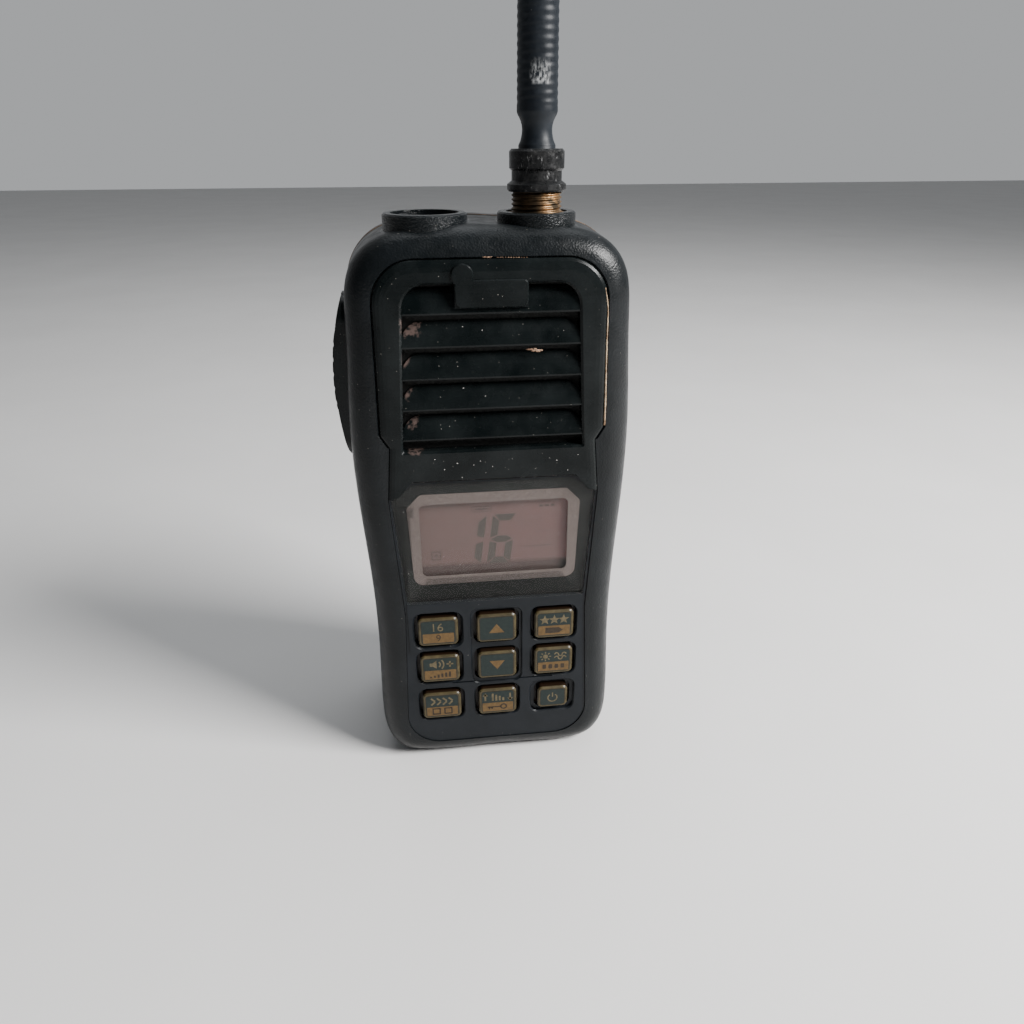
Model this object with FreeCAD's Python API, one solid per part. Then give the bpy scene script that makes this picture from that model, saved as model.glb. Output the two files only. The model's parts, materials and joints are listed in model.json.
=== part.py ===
import FreeCAD
import Part
import math
import os

# A compact handheld two-way radio with a rear battery pack and a screw-on whip antenna.
# Millimetres. +X is to the right of someone facing the radio, +Y is to its back, +Z is up.
# The origin is the middle of the flat base that the radio stands on.

Vector = FreeCAD.Vector
UP = Vector(0, 0, 1)
BACK = Vector(0, 1, 0)
RIGHT = Vector(1, 0, 0)

# Overall size
RIM_HEIGHT = 141.5            # base to the rims of the two collars on top
CASE_TOP = 140.0              # base to the crest of the case between the collars
DEPTH = 43.0                  # front of the name tab to the back of the battery pack
CASE_HALF_WIDTH = 33.0        # widest half width, beside the loudspeaker
WAIST_HALF_WIDTH = 31.2       # narrowest half width, below the display
WALL = 2.6                    # case wall
ANTENNA_TIP = 291.0           # base to the tip of the whip

# Depth stations, front to back
TAB_FRONT = -DEPTH / 2
GRILLE_FRONT = TAB_FRONT + 0.4
FACE_FRONT = TAB_FRONT + 1.0
LENS_FRONT = FACE_FRONT
FASCIA_FRONT = TAB_FRONT + 1.3
KEY_FRONT = TAB_FRONT + 0.5
LENS_BACK = TAB_FRONT + 2.3
MASK_BACK = LENS_BACK + 0.2
PANEL_BACK = TAB_FRONT + 3.3
FRONT_WALL_BACK = TAB_FRONT + 5.1
MAT_FRONT = -15.0
MAT_BACK = -14.2
BOARD_FRONT = -13.6
BOARD_BACK = -12.4
CHASSIS_FRONT = -9.0
CHASSIS_BACK = -7.4
RF_BOARD_FRONT = -6.2
RF_BOARD_BACK = -5.0
SEAM = 1.0                    # rear edge of the front case
GASKET = 0.6                  # thickness of the case seal
COVER_FRONT = SEAM + GASKET
COVER_INNER = 4.0
COVER_BACK = 6.0
PACK_GAP = 0.4                # between the rear cover and the battery pack
PACK_FRONT = COVER_BACK + PACK_GAP
PACK_BACK = DEPTH / 2

# Right half of the case outline, as (x, z), from the crest round to the base.
# The base points lie a little under the floor, and a flat cut at z = 0 makes the base.
BASE_SINK = 0.6
CASE_OUTLINE = [
    (0.0, CASE_TOP),
    (12.0, CASE_TOP - 0.2),
    (20.0, CASE_TOP - 1.1),
    (25.6, CASE_TOP - 3.4),
    (29.4, CASE_TOP - 7.2),
    (31.2, CASE_TOP - 12.5),
    (31.9, CASE_TOP - 22.0),
    (CASE_HALF_WIDTH, 97.0),
    (32.4, 73.0),
    (WAIST_HALF_WIDTH, 52.0),
    (WAIST_HALF_WIDTH, 32.0),
    (31.6, 14.0),
    (30.3, 6.0),
    (26.5, 1.2),
    (20.0, -BASE_SINK),
    (0.0, -BASE_SINK),
]
OUTLINE_SAMPLES = 56
ROUNDING_STEPS = 6

# Grille panel and loudspeaker
GRILLE_HALF_WIDTH = 25.3
GRILLE_TOP = 133.3
GRILLE_SHOULDER = 95.8
GRILLE_STEP = 92.8
PANEL_SPLIT = 84.0            # height where the grille panel meets the key fascia
SPLIT_CORNER = 79.9           # the same seam at its two low outer corners
SPLIT_HALF_WIDTH = 19.1
GROOVE = 0.22                 # open groove round the grille panel
LOUVRE_TOP = 128.4
LOUVRE_BOTTOM = 91.7
LOUVRE_COUNT = 5
LOUVRE_FIRST = 122.15         # lower lip of the top louvre
LOUVRE_PITCH = 6.98
OPENING_BEVEL = 0.5           # softened edge of the opening round the louvres
PANEL_ROLL = (2.4, 0.8)       # reach and depth of the grille panel's rolled edge
ROLL_STEPS = 4
GROOVE_BEVEL = 0.3            # softened edge of the case along the open groove
TAB_HALF_WIDTH = 7.8
TAB_BOTTOM = 123.5
TAB_BEVEL = 0.25
SPEAKER_HEIGHT = 112.0
SPEAKER_RADIUS = 18.0
MICROPHONE_X = -17.5
MICROPHONE_HEIGHT = 95.5

# Display
LENS_TOP = 83.2
LENS_BOTTOM = 50.6
BORDER_TOP = 80.2
BORDER_BOTTOM = 55.5
WINDOW_TOP = 77.5
WINDOW_BOTTOM = 57.8
WINDOW_HALF_WIDTH = 18.0

# Keys
KEY_COLUMNS = [-15.0, 0.0, 15.0]
KEY_ROWS = [42.3, 30.7, 18.5]
KEY_SIZE = (10.2, 8.4)
POWER_KEY_SIZE = (8.2, 6.8)
KEY_RADIUS = 1.3
KEY_CLEARANCE = 0.85
WELL_BEVEL = 0.3               # softened edge of each key well
KEY_NAMES = [
    ["key_channel_16", "key_up", "key_favourite"],
    ["key_volume", "key_down", "key_channel_mode"],
    ["key_scan", "key_power_level", "key_power"],
]

# Push-to-talk button on the left side
PTT_Y = -8.1
PTT_Z = 107.8
PTT_PAD = (6.4, 18.6)
PTT_BEZEL_Z = 106.2
PTT_BEZEL_SIZE = (12.4, 38.4)
PTT_BEZEL_OUTER = -35.2        # crest of the bezel's long arch
PTT_OUTER = -35.5              # crest of the button's arch
PTT_ARCH_Z = 104.5             # height of both crests
PTT_ARCH_RADIUS = 68.0
PTT_RIDGES = 5
PTT_RIDGE_PITCH = 3.4

# Collars on top
COLLAR_Y = -8.5
JACK_X = -13.0
JACK_COLLAR_RADIUS = 9.1
JACK_BORE_RADIUS = 7.3
JACK_BODY_RADIUS = 6.6
JACK_HOLE_RADIUS = 1.8
JACK_FLOOR = 136.5
RIM_BEVEL = 0.35              # softened edge on top of both collars
ANTENNA_X = 11.1
ANTENNA_COLLAR_RADIUS = 8.5

# Antenna
THREAD_RADIUS = 5.45
NUT_BOTTOM = 145.4
NUT_TOP = 153.6
FIT = 0.1                     # radial clearance between the thread and the nut

# Fixings
SCREW_PLACES = [(-26.0, 9.0), (26.0, 9.0), (-25.0, 128.5), (25.0, 128.5)]
SCREW_RADIUS = 1.3
BOSS_RADIUS = 3.0
BOARD_SCREW_PLACES = [(-20.5, 20.0), (20.5, 20.0), (-20.5, 80.0), (20.5, 80.0)]
BOARD_SCREW_RADIUS = 1.0

# Battery pack
PACK_TOP = 112.0
COVER_BLOCK_BOTTOM = 112.5
BLOCK_BACK = 18.0
CLIP_HOLE_SPACING = 18.0
CLIP_HOLE_HEIGHT = 88.0
CLIP_HOLE_RADIUS = 1.25
INSERT_RADIUS = 2.2
LATCH_HALF_WIDTH = 8.6
LATCH_BOTTOM = 11.0
LATCH_TOP = 21.6
TERMINALS_X = [-6.0, 0.0, 6.0]
TERMINAL_HEIGHT = 33.0


# ---------------------------------------------------------------- helpers

def box(x0, x1, y0, y1, z0, z1):
    return Part.makeBox(x1 - x0, y1 - y0, z1 - z0, Vector(x0, y0, z0))


def rod_x(y, z, radius, x0, x1):
    return Part.makeCylinder(radius, x1 - x0, Vector(x0, y, z), RIGHT)


def rod_y(x, z, radius, y0, y1):
    return Part.makeCylinder(radius, y1 - y0, Vector(x, y0, z), BACK)


def rod_z(x, y, radius, z0, z1):
    return Part.makeCylinder(radius, z1 - z0, Vector(x, y, z0), UP)


def ring_y(x, z, outer, inner, y0, y1):
    return rod_y(x, z, outer, y0, y1).cut(rod_y(x, z, inner, y0, y1))


def ring_z(x, y, outer, inner, z0, z1):
    return rod_z(x, y, outer, z0, z1).cut(rod_z(x, y, inner, z0, z1))


def rect(cx, cz, width, height, radius):
    """Corners (u, v, radius) of a rounded rectangle."""
    u = width / 2
    v = height / 2
    return [
        (cx - u, cz - v, radius),
        (cx + u, cz - v, radius),
        (cx + u, cz + v, radius),
        (cx - u, cz + v, radius),
    ]


def mirrored(right_half):
    """A closed outline from the corners of its right half, given from bottom to top."""
    left_half = [(-u, v, radius) for u, v, radius in reversed(right_half)]
    return right_half + left_half


def rounded_wire(corners, place):
    """A closed wire through corners (u, v, radius), with an arc where the radius isn't zero."""
    edges = []
    joints = []
    count = len(corners)
    for index in range(count):
        u, v, radius = corners[index]
        here = Vector(u, v, 0)
        before = Vector(corners[index - 1][0], corners[index - 1][1], 0) - here
        after = Vector(corners[(index + 1) % count][0], corners[(index + 1) % count][1], 0) - here
        before.normalize()
        after.normalize()
        if radius == 0:
            joints.append((here, here, here))
            continue
        half_angle = before.getAngle(after) / 2
        reach = radius / math.tan(half_angle)
        bisector = (before + after).normalize()
        centre = here + bisector * (radius / math.sin(half_angle))
        joints.append((here + before * reach, centre - bisector * radius, here + after * reach))
    for index in range(count):
        start, middle, end = [place(p.x, p.y) for p in joints[index]]
        following = place(joints[(index + 1) % count][0].x, joints[(index + 1) % count][0].y)
        if corners[index][2] > 0:
            edges.append(Part.Arc(start, middle, end).toShape())
        if end.distanceToPoint(following) > 1e-6:
            edges.append(Part.makeLine(end, following))
    return Part.Wire(edges)


def wire_at_y(corners, y):
    return rounded_wire(corners, lambda u, v: Vector(u, y, v))


def wire_at_x(corners, x):
    return rounded_wire(corners, lambda u, v: Vector(x, u, v))


def prism_y(corners, y0, y1):
    return Part.Face(wire_at_y(corners, y0)).extrude(BACK * (y1 - y0))


def prism_x(corners, x0, x1):
    return Part.Face(wire_at_x(corners, x0)).extrude(RIGHT * (x1 - x0))


def bevelled_y(corners_front, corners_back, y_front, y_back):
    return Part.makeLoft([wire_at_y(corners_front, y_front), wire_at_y(corners_back, y_back)], True, True)


def turned_z(profile, x, y):
    """A solid turned round a vertical axis from (radius, z) points."""
    points = [Vector(x + radius, y, z) for radius, z in profile]
    face = Part.Face(Part.makePolygon(points + points[:1]))
    return face.revolve(Vector(x, y, 0), UP, 360)


def turned_y(profile, x, z):
    """A solid turned round an axis along Y from (radius, y) points."""
    points = [Vector(x + radius, y, z) for radius, y in profile]
    face = Part.Face(Part.makePolygon(points + points[:1]))
    return face.revolve(Vector(x, 0, z), BACK, 360)


def outline_wire(inset, y):
    """The case outline, moved in by an inset, at one depth."""
    right = [Vector(x, 0, z) for x, z in CASE_OUTLINE]
    left = [Vector(-x, 0, z) for x, z in reversed(CASE_OUTLINE[1:-1])]
    curve = Part.BSplineCurve()
    curve.interpolate(Points=right + left, PeriodicFlag=True)
    first = curve.FirstParameter
    step = (curve.LastParameter - first) / OUTLINE_SAMPLES
    moved = []
    for index in range(OUTLINE_SAMPLES):
        parameter = first + step * index
        tangent = curve.tangent(parameter)[0]
        inward = tangent.cross(BACK)
        point = curve.value(parameter) - inward * inset
        moved.append(Vector(point.x, y, point.z))
    closed = Part.BSplineCurve()
    closed.interpolate(Points=moved, PeriodicFlag=True)
    return Part.Wire(closed.toShape())


def outline_prism(inset, y0, y1):
    return Part.Face(outline_wire(inset, y0)).extrude(BACK * (y1 - y0))


def rounded_body(root, turn, face):
    """The outline from a root to a turn as straight sides, then a quarter ellipse in to a flat face.

    Each of root, turn and face is a pair (y, inset).
    """
    sides = Part.makeLoft([outline_wire(root[1], root[0]), outline_wire(turn[1], turn[0])], True, True)
    stations = []
    for index in range(ROUNDING_STEPS + 1):
        angle = math.radians(90 * index / ROUNDING_STEPS)
        y = turn[0] + (face[0] - turn[0]) * math.sin(angle)
        inset = face[1] + (turn[1] - face[1]) * math.cos(angle)
        stations.append(outline_wire(inset, y))
    return sides.fuse(Part.makeLoft(stations, True, False))


def above_floor(shape):
    return shape.cut(box(-60, 60, -40, 40, -20, 0))


def joined(shapes):
    whole = shapes[0]
    for shape in shapes[1:]:
        whole = whole.fuse(shape)
    return whole


def without(shape, tools):
    for tool in tools:
        shape = shape.cut(tool)
    return shape


# ---------------------------------------------------------------- outlines of the front

def grille_outline(grow, foot):
    """The grille panel: round shoulders on top, and a cut corner low on each side.

    It is grown by one amount round its sides and top, and by another at its foot.
    """
    return mirrored([
        (SPLIT_HALF_WIDTH, PANEL_SPLIT - foot, 0),
        (24.8 + grow, SPLIT_CORNER - foot, 0),
        (23.7 + grow, GRILLE_STEP, 0),
        (GRILLE_HALF_WIDTH + 0.2 + grow, GRILLE_SHOULDER, 0),
        (GRILLE_HALF_WIDTH - 0.4 + grow, GRILLE_TOP + grow, 9.0 + grow),
    ])


def fascia_outline(grow):
    """The key fascia, which follows the waist of the case."""
    return mirrored([
        (24.6 + grow, 5.6 - grow, 9.0 + grow),
        (22.9 + grow, 47.0, 0),
        (24.8 + grow, SPLIT_CORNER - 0.1, 0),
        (SPLIT_HALF_WIDTH, PANEL_SPLIT - 0.1, 0),
    ])


def lens_outline(grow):
    return mirrored([
        (22.3 + grow, LENS_BOTTOM - grow, 0.6),
        (24.3 + grow, LENS_TOP - 3.9, 0.8),
        (19.0 + grow, LENS_TOP + grow, 1.5),
    ])


def border_outline(grow):
    return mirrored([
        (20.1 + grow, BORDER_BOTTOM - grow, 2.5),
        (20.9 + grow, BORDER_TOP - 3.4, 1.2),
        (17.6 + grow, BORDER_TOP + grow, 1.2),
    ])


def window_outline(grow):
    width = 2 * (WINDOW_HALF_WIDTH + grow)
    height = WINDOW_TOP - WINDOW_BOTTOM + 2 * grow
    return rect(0, (WINDOW_TOP + WINDOW_BOTTOM) / 2, width, height, 1.5)


def louvre_outline(grow):
    """The opening round the louvres, narrower at the top."""
    return mirrored([
        (20.6 + grow, LOUVRE_BOTTOM - grow, 0.5),
        (18.7 + grow, LOUVRE_TOP + grow, 5.0 + grow),
    ])


def slat_outline(lip):
    """One slat seen from the front: full width at its lip, with round upper corners."""
    taper = (20.6 - 18.7) / (LOUVRE_TOP - LOUVRE_BOTTOM)
    bottom = lip - 0.5
    top = lip + 5.4
    return mirrored([
        (20.7 - taper * (bottom - LOUVRE_BOTTOM), bottom, 0),
        (20.7 - taper * (top - LOUVRE_BOTTOM), top, 4.2),
    ])


def key_size(name):
    return POWER_KEY_SIZE if name == "key_power" else KEY_SIZE


def key_places():
    """Every key as (name, x, z)."""
    places = []
    for row, z in enumerate(KEY_ROWS):
        for column, x in enumerate(KEY_COLUMNS):
            places.append((KEY_NAMES[row][column], x, z))
    return places


# ---------------------------------------------------------------- case

def collar(x, radius, root):
    """A round collar on top of the case with a softened rim, kept off the front face."""
    profile = [
        (0, root),
        (radius, root),
        (radius, RIM_HEIGHT - RIM_BEVEL),
        (radius - RIM_BEVEL, RIM_HEIGHT),
        (0, RIM_HEIGHT),
    ]
    front_skin = box(-40, 40, -30, FRONT_WALL_BACK - 1.3, 120, 138.0)
    return turned_z(profile, x, COLLAR_Y).cut(front_skin)


def front_case():
    outer = rounded_body((SEAM, 0.0), (FACE_FRONT + 6.0, 0.5), (FACE_FRONT, 7.2))
    cavity = above_floor(outline_prism(WALL, FRONT_WALL_BACK, SEAM))
    collars = [collar(JACK_X, JACK_COLLAR_RADIUS, 134.0), collar(ANTENNA_X, ANTENNA_COLLAR_RADIUS, 136.0)]
    body = joined([above_floor(outer).cut(cavity)] + collars)
    bosses = [rod_y(x, z, BOSS_RADIUS, FRONT_WALL_BACK, SEAM) for x, z in SCREW_PLACES]
    body = joined([body] + bosses)
    pilots = [rod_y(x, z, SCREW_RADIUS, -8.2, SEAM) for x, z in SCREW_PLACES]
    pocket_front = TAB_FRONT - 2
    narrow = grille_outline(GROOVE, GROOVE)
    wide = grille_outline(GROOVE + 2 * GROOVE_BEVEL, GROOVE)
    groove = prism_y(narrow, pocket_front, PANEL_BACK)
    edge = bevelled_y(wide, narrow, FACE_FRONT - GROOVE_BEVEL, FACE_FRONT + GROOVE_BEVEL)
    groove = joined([groove, edge]).common(box(-60, 60, -60, 0, GRILLE_STEP, 200))
    tools = pilots + [
        rod_z(JACK_X, COLLAR_Y, JACK_BORE_RADIUS, JACK_FLOOR, RIM_HEIGHT + 1),
        rod_z(JACK_X, COLLAR_Y, JACK_BODY_RADIUS + 0.05, 133.0, RIM_HEIGHT),
        rod_z(ANTENNA_X, COLLAR_Y, 6.6, 139.6, RIM_HEIGHT + 1),
        rod_z(ANTENNA_X, COLLAR_Y, 4.6, 133.0, RIM_HEIGHT + 1),
        groove,
        prism_y(grille_outline(0.06, 0.06), pocket_front, PANEL_BACK),
        prism_y(fascia_outline(0.1), pocket_front, PANEL_BACK),
        prism_y(rect(0, 110.6, 44.4, 41.0, 4.0), PANEL_BACK - 1, FRONT_WALL_BACK + 1),
        prism_y(rect(0, 67.8, 43.4, 28.4, 1.0), PANEL_BACK - 1, FRONT_WALL_BACK + 1),
        prism_y(rect(0, 29.0, 43.6, 39.0, 3.0), PANEL_BACK - 1, FRONT_WALL_BACK + 1),
        prism_x(ptt_bezel_corners(0.05), PTT_BEZEL_OUTER - 4, -27.0),
    ]
    return without(body, tools)


def case_seal():
    """The ring of soft seal between the front case and the rear cover, seen as a thin line."""
    ring = above_floor(outline_prism(-0.1, SEAM, COVER_FRONT)).cut(outline_prism(1.8, SEAM, COVER_FRONT))
    return ring


def rear_cover():
    plate = above_floor(outline_prism(0.0, COVER_FRONT, COVER_BACK))
    block = rounded_body((COVER_BACK, 0.05), (9.5, 0.3), (BLOCK_BACK, 8.0))
    block = block.common(box(-60, 60, COVER_BACK, 30, COVER_BLOCK_BOTTOM, 200))
    shell = joined([plate, block])
    cavity = above_floor(outline_prism(WALL, COVER_FRONT, COVER_INNER))
    upper = box(-20, 20, COVER_INNER - 1, 13.5, COVER_BLOCK_BOTTOM + WALL, CASE_TOP - 7)
    shell = shell.cut(cavity).cut(upper)
    bosses = [rod_y(x, z, BOSS_RADIUS, COVER_FRONT, COVER_INNER) for x, z in SCREW_PLACES]
    shell = joined([shell] + bosses)
    tools = [rod_y(x, z, SCREW_RADIUS + 0.2, COVER_FRONT - 1, COVER_BACK) for x, z in SCREW_PLACES]
    tools += [rod_y(x, z, 2.6, COVER_INNER, 30) for x, z in SCREW_PLACES]
    tools.append(box(-10, 10, COVER_INNER - 1, COVER_BACK + 1, TERMINAL_HEIGHT - 4, TERMINAL_HEIGHT + 4))
    return without(shell, tools)


def case_screws():
    screws = []
    for x, z in SCREW_PLACES:
        head = rod_y(x, z, 2.3, COVER_INNER, COVER_INNER + 1.5)
        slot = box(x - 0.25, x + 0.25, COVER_INNER + 0.7, COVER_INNER + 2, z - 1.4, z + 1.4)
        cross = box(x - 1.4, x + 1.4, COVER_INNER + 0.7, COVER_INNER + 2, z - 0.25, z + 0.25)
        shank = rod_y(x, z, SCREW_RADIUS, -8.0, COVER_INNER)
        screws.append(head.cut(slot).cut(cross).fuse(shank))
    return Part.makeCompound(screws)


# ---------------------------------------------------------------- front panels

def louvre(lip):
    """One slat: its lower lip is at the front, and it slopes up and back."""
    section = [
        (GRILLE_FRONT + 0.5, lip),
        (GRILLE_FRONT + 0.35, lip + 0.4),
        (GRILLE_FRONT + 0.6, lip + 1.6),
        (GRILLE_FRONT + 1.0, lip + 2.9),
        (GRILLE_FRONT + 1.6, lip + 4.1),
        (GRILLE_FRONT + 2.4, lip + 5.2),
        (PANEL_BACK, lip + 5.6),
        (PANEL_BACK, lip + 4.6),
        (GRILLE_FRONT + 1.9, lip + 3.0),
        (GRILLE_FRONT + 1.2, lip + 0.1),
    ]
    points = [Vector(-22, y, z) for y, z in section]
    slat = Part.Face(Part.makePolygon(points + points[:1])).extrude(RIGHT * 44)
    slat = slat.common(prism_y(slat_outline(lip), GRILLE_FRONT, PANEL_BACK))
    return slat.common(prism_y(louvre_outline(0), GRILLE_FRONT, PANEL_BACK))


def grille_panel():
    reach, depth = PANEL_ROLL
    stations = []
    for step in range(ROLL_STEPS + 1):
        angle = math.radians(90 * step / ROLL_STEPS)
        inset = reach * (1 - math.cos(angle))
        y = GRILLE_FRONT + depth * (1 - math.sin(angle))
        stations.append(wire_at_y(grille_outline(-inset, -inset / 4), y))
    rolled = Part.makeLoft(stations, True, True)
    panel = joined([rolled, prism_y(grille_outline(0, 0), GRILLE_FRONT + depth, PANEL_BACK)])
    wide = louvre_outline(2 * OPENING_BEVEL)
    bevel = bevelled_y(wide, louvre_outline(0), GRILLE_FRONT - OPENING_BEVEL, GRILLE_FRONT + OPENING_BEVEL)
    panel = panel.cut(bevel)
    panel = panel.cut(prism_y(louvre_outline(0), GRILLE_FRONT - 1, PANEL_BACK + 1))
    slats = [louvre(LOUVRE_FIRST - LOUVRE_PITCH * index) for index in range(LOUVRE_COUNT)]
    backing_back = GRILLE_FRONT + 1.2
    backing = box(-TAB_HALF_WIDTH, TAB_HALF_WIDTH, GRILLE_FRONT, backing_back, TAB_BOTTOM, LOUVRE_TOP + 1.5)
    return joined([panel, backing] + slats)


def name_tab():
    """A blank tab that hangs over the top louvre, with a small round boss."""
    def tab_outline(inset):
        half = TAB_HALF_WIDTH - inset
        low, high = TAB_BOTTOM + inset, LOUVRE_TOP + 0.9 - inset
        return mirrored([(half, low, 1.6 - inset), (half, high, 1.2 - inset)])

    shoulder = TAB_FRONT + TAB_BEVEL
    boss_radius = 2.4
    bevel = bevelled_y(tab_outline(TAB_BEVEL), tab_outline(0), TAB_FRONT, shoulder)
    plate = prism_y(tab_outline(0), shoulder, GRILLE_FRONT)
    top = Vector(-6.1, TAB_FRONT, 130.2)
    boss_bevel = Part.makeCone(boss_radius - TAB_BEVEL, boss_radius, TAB_BEVEL, top, BACK)
    boss = rod_y(top.x, top.z, boss_radius, shoulder, GRILLE_FRONT)
    return joined([bevel, plate, boss_bevel, boss])


def fascia_panel():
    panel = prism_y(fascia_outline(0), FASCIA_FRONT, PANEL_BACK)
    step = 0.25
    raised = [(-22.4, 35.9, 0), (-7.4, 35.9, 2.5), (-7.4, LENS_BOTTOM, 0), (-22.4, LENS_BOTTOM, 0)]
    panel = joined([panel, prism_y(raised, FASCIA_FRONT - step, FASCIA_FRONT)])
    deep = FASCIA_FRONT + 0.5
    pocket_width = 13.0
    pocket_height = 23.0
    pocket = rect(0, 36.2, pocket_width, pocket_height, 2.0)
    brim = 4 * WELL_BEVEL
    pocket_brim = rect(0, 36.2, pocket_width + brim, pocket_height + brim, 2.6)
    tools = [
        bevelled_y(pocket_brim, pocket, FASCIA_FRONT - WELL_BEVEL, FASCIA_FRONT + WELL_BEVEL),
        prism_y(pocket, FASCIA_FRONT - 1, deep),
        box(-12.0, 15.0, FASCIA_FRONT - 1, FASCIA_FRONT + 0.3, 25.05, 25.45),
        prism_y(lens_outline(0.1), FASCIA_FRONT - 1, MASK_BACK),
        prism_y(window_outline(0.6), FASCIA_FRONT, PANEL_BACK + 1),
    ]
    width, height = KEY_SIZE
    for name, x, z in key_places():
        well = rect(x, z, width + 2 * KEY_CLEARANCE, height + 2 * KEY_CLEARANCE, KEY_RADIUS + KEY_CLEARANCE)
        brim_size = KEY_CLEARANCE + 2 * WELL_BEVEL
        brim = rect(x, z, width + 2 * brim_size, height + 2 * brim_size, KEY_RADIUS + brim_size)
        tools.append(bevelled_y(brim, well, FASCIA_FRONT - WELL_BEVEL, FASCIA_FRONT + WELL_BEVEL))
        if name != "key_power":
            tools.append(prism_y(well, FASCIA_FRONT - 1, PANEL_BACK + 1))
            continue
        small, low = POWER_KEY_SIZE
        hole = rect(x, z, small + 2 * KEY_CLEARANCE, low + 2 * KEY_CLEARANCE, KEY_RADIUS + KEY_CLEARANCE)
        tools.append(prism_y(well, FASCIA_FRONT - 1, deep + 0.4))
        tools.append(prism_y(hole, FASCIA_FRONT - 1, PANEL_BACK + 1))
    return without(panel, tools)


def display_window():
    return prism_y(lens_outline(0), LENS_FRONT, LENS_BACK)


def window_mask():
    film = prism_y(lens_outline(-0.1), LENS_BACK, MASK_BACK)
    return film.cut(prism_y(border_outline(0), LENS_BACK, MASK_BACK))


def window_border():
    ring = prism_y(border_outline(0), LENS_BACK, MASK_BACK)
    return ring.cut(prism_y(window_outline(0), LENS_BACK, MASK_BACK))


def lcd_glass():
    return box(-20.0, 20.0, PANEL_BACK + 0.1, PANEL_BACK + 1.9, 56.0, 80.0)


def light_guide():
    return box(-20.0, 20.0, PANEL_BACK + 1.9, -14.4, 56.0, 80.0)


def lcd_holder():
    outer = box(-21.4, 21.4, PANEL_BACK + 0.1, BOARD_FRONT, 54.4, 81.4)
    return outer.cut(box(-20.1, 20.1, PANEL_BACK, -14.4, 55.9, 80.1))


def key(name, x, z):
    """A hard-topped key: bevelled cap, retaining flange behind the fascia, and a stem."""
    width, height = key_size(name)
    bevel = 0.35
    cap_corners = rect(x, z, width, height, KEY_RADIUS)
    top_corners = rect(x, z, width - 2 * bevel, height - 2 * bevel, KEY_RADIUS - bevel)
    flange_front = PANEL_BACK + 0.5
    flange_back = flange_front + 0.8
    top = bevelled_y(top_corners, cap_corners, KEY_FRONT, KEY_FRONT + 0.4)
    cap = prism_y(cap_corners, KEY_FRONT + 0.4, flange_front)
    flange = prism_y(rect(x, z, width + 2.4, height + 2.4, KEY_RADIUS), flange_front, flange_back)
    stem = rod_y(x, z, 1.6, flange_back, MAT_FRONT - 0.9)
    return joined([top, cap, flange, stem])


def keypad_mat():
    return box(-21.0, 21.0, MAT_FRONT, MAT_BACK, 9.5, 48.5)


def snap_domes():
    """The nine metal snap domes on the board, one under each key."""
    profile = [(0, MAT_BACK), (1.4, MAT_BACK), (2.8, BOARD_FRONT), (0, BOARD_FRONT)]
    return Part.makeCompound([turned_y(profile, x, z) for _, x, z in key_places()])


# ---------------------------------------------------------------- boards and chassis

def main_board():
    board = box(-24.0, 24.0, BOARD_FRONT, BOARD_BACK, 13.5, 87.0)
    return without(board, [rod_y(x, z, BOARD_SCREW_RADIUS + 0.2, -20, 0) for x, z in BOARD_SCREW_PLACES])


def shield(x0, x1, y0, y1, z0, z1):
    skin = 0.4
    inner = box(x0 + skin, x1 - skin, y0, y1 - skin, z0 + skin, z1 - skin)
    return box(x0, x1, y0, y1, z0, z1).cut(inner)


def logic_shield():
    return shield(-16.0, 16.0, BOARD_BACK, CHASSIS_FRONT - 0.3, 40.0, 72.0)


def rf_shield():
    return shield(-17.0, 17.0, RF_BOARD_BACK, -1.4, 28.0, 76.0)


def chassis():
    plate = box(-24.0, 24.0, CHASSIS_FRONT, CHASSIS_BACK, 14.0, 86.0)
    posts = [rod_y(x, z, 2.2, BOARD_BACK, RF_BOARD_FRONT) for x, z in BOARD_SCREW_PLACES]
    whole = joined([plate] + posts)
    return without(whole, [rod_y(x, z, BOARD_SCREW_RADIUS, -20, 0) for x, z in BOARD_SCREW_PLACES])


def rf_board():
    board = box(-23.0, 23.0, RF_BOARD_FRONT, RF_BOARD_BACK, 15.0, 86.0)
    return without(board, [rod_y(x, z, BOARD_SCREW_RADIUS, -20, 0) for x, z in BOARD_SCREW_PLACES])


def board_screws():
    screws = []
    for x, z in BOARD_SCREW_PLACES:
        head = rod_y(x, z, 1.9, RF_BOARD_BACK, RF_BOARD_BACK + 1.2)
        shank = rod_y(x, z, BOARD_SCREW_RADIUS, BOARD_FRONT + 0.4, RF_BOARD_BACK)
        screws.append(head.fuse(shank))
    return Part.makeCompound(screws)


# ---------------------------------------------------------------- sound

def speaker_cloth():
    return prism_y(rect(0, 110.0, 43.6, 38.2, 3.8), PANEL_BACK, PANEL_BACK + 0.3)


def speaker_seal():
    return ring_y(0, SPEAKER_HEIGHT, SPEAKER_RADIUS, 15.6, PANEL_BACK + 0.3, -16.4)


def speaker_frame():
    profile = [
        (SPEAKER_RADIUS, -16.4),
        (SPEAKER_RADIUS, -15.4),
        (16.5, -15.4),
        (9.8, -9.6),
        (9.8, -8.8),
        (5.2, -8.8),
        (5.2, -9.8),
        (8.6, -9.8),
        (15.2, -15.6),
        (15.2, -16.4),
    ]
    return turned_y(profile, 0, SPEAKER_HEIGHT)


def speaker_magnet():
    return rod_y(0, SPEAKER_HEIGHT, 9.0, -8.8, -5.6)


def speaker_cone():
    """The paper cone with its dust cap and voice coil, clear of the frame all round."""
    profile = [
        (0, -13.6),
        (3.0, -13.2),
        (4.0, -12.6),
        (14.2, -16.1),
        (14.6, -15.7),
        (4.6, -11.6),
        (4.6, -9.9),
        (4.1, -9.9),
        (4.1, -11.9),
        (0, -12.9),
    ]
    return turned_y(profile, 0, SPEAKER_HEIGHT)


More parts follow.
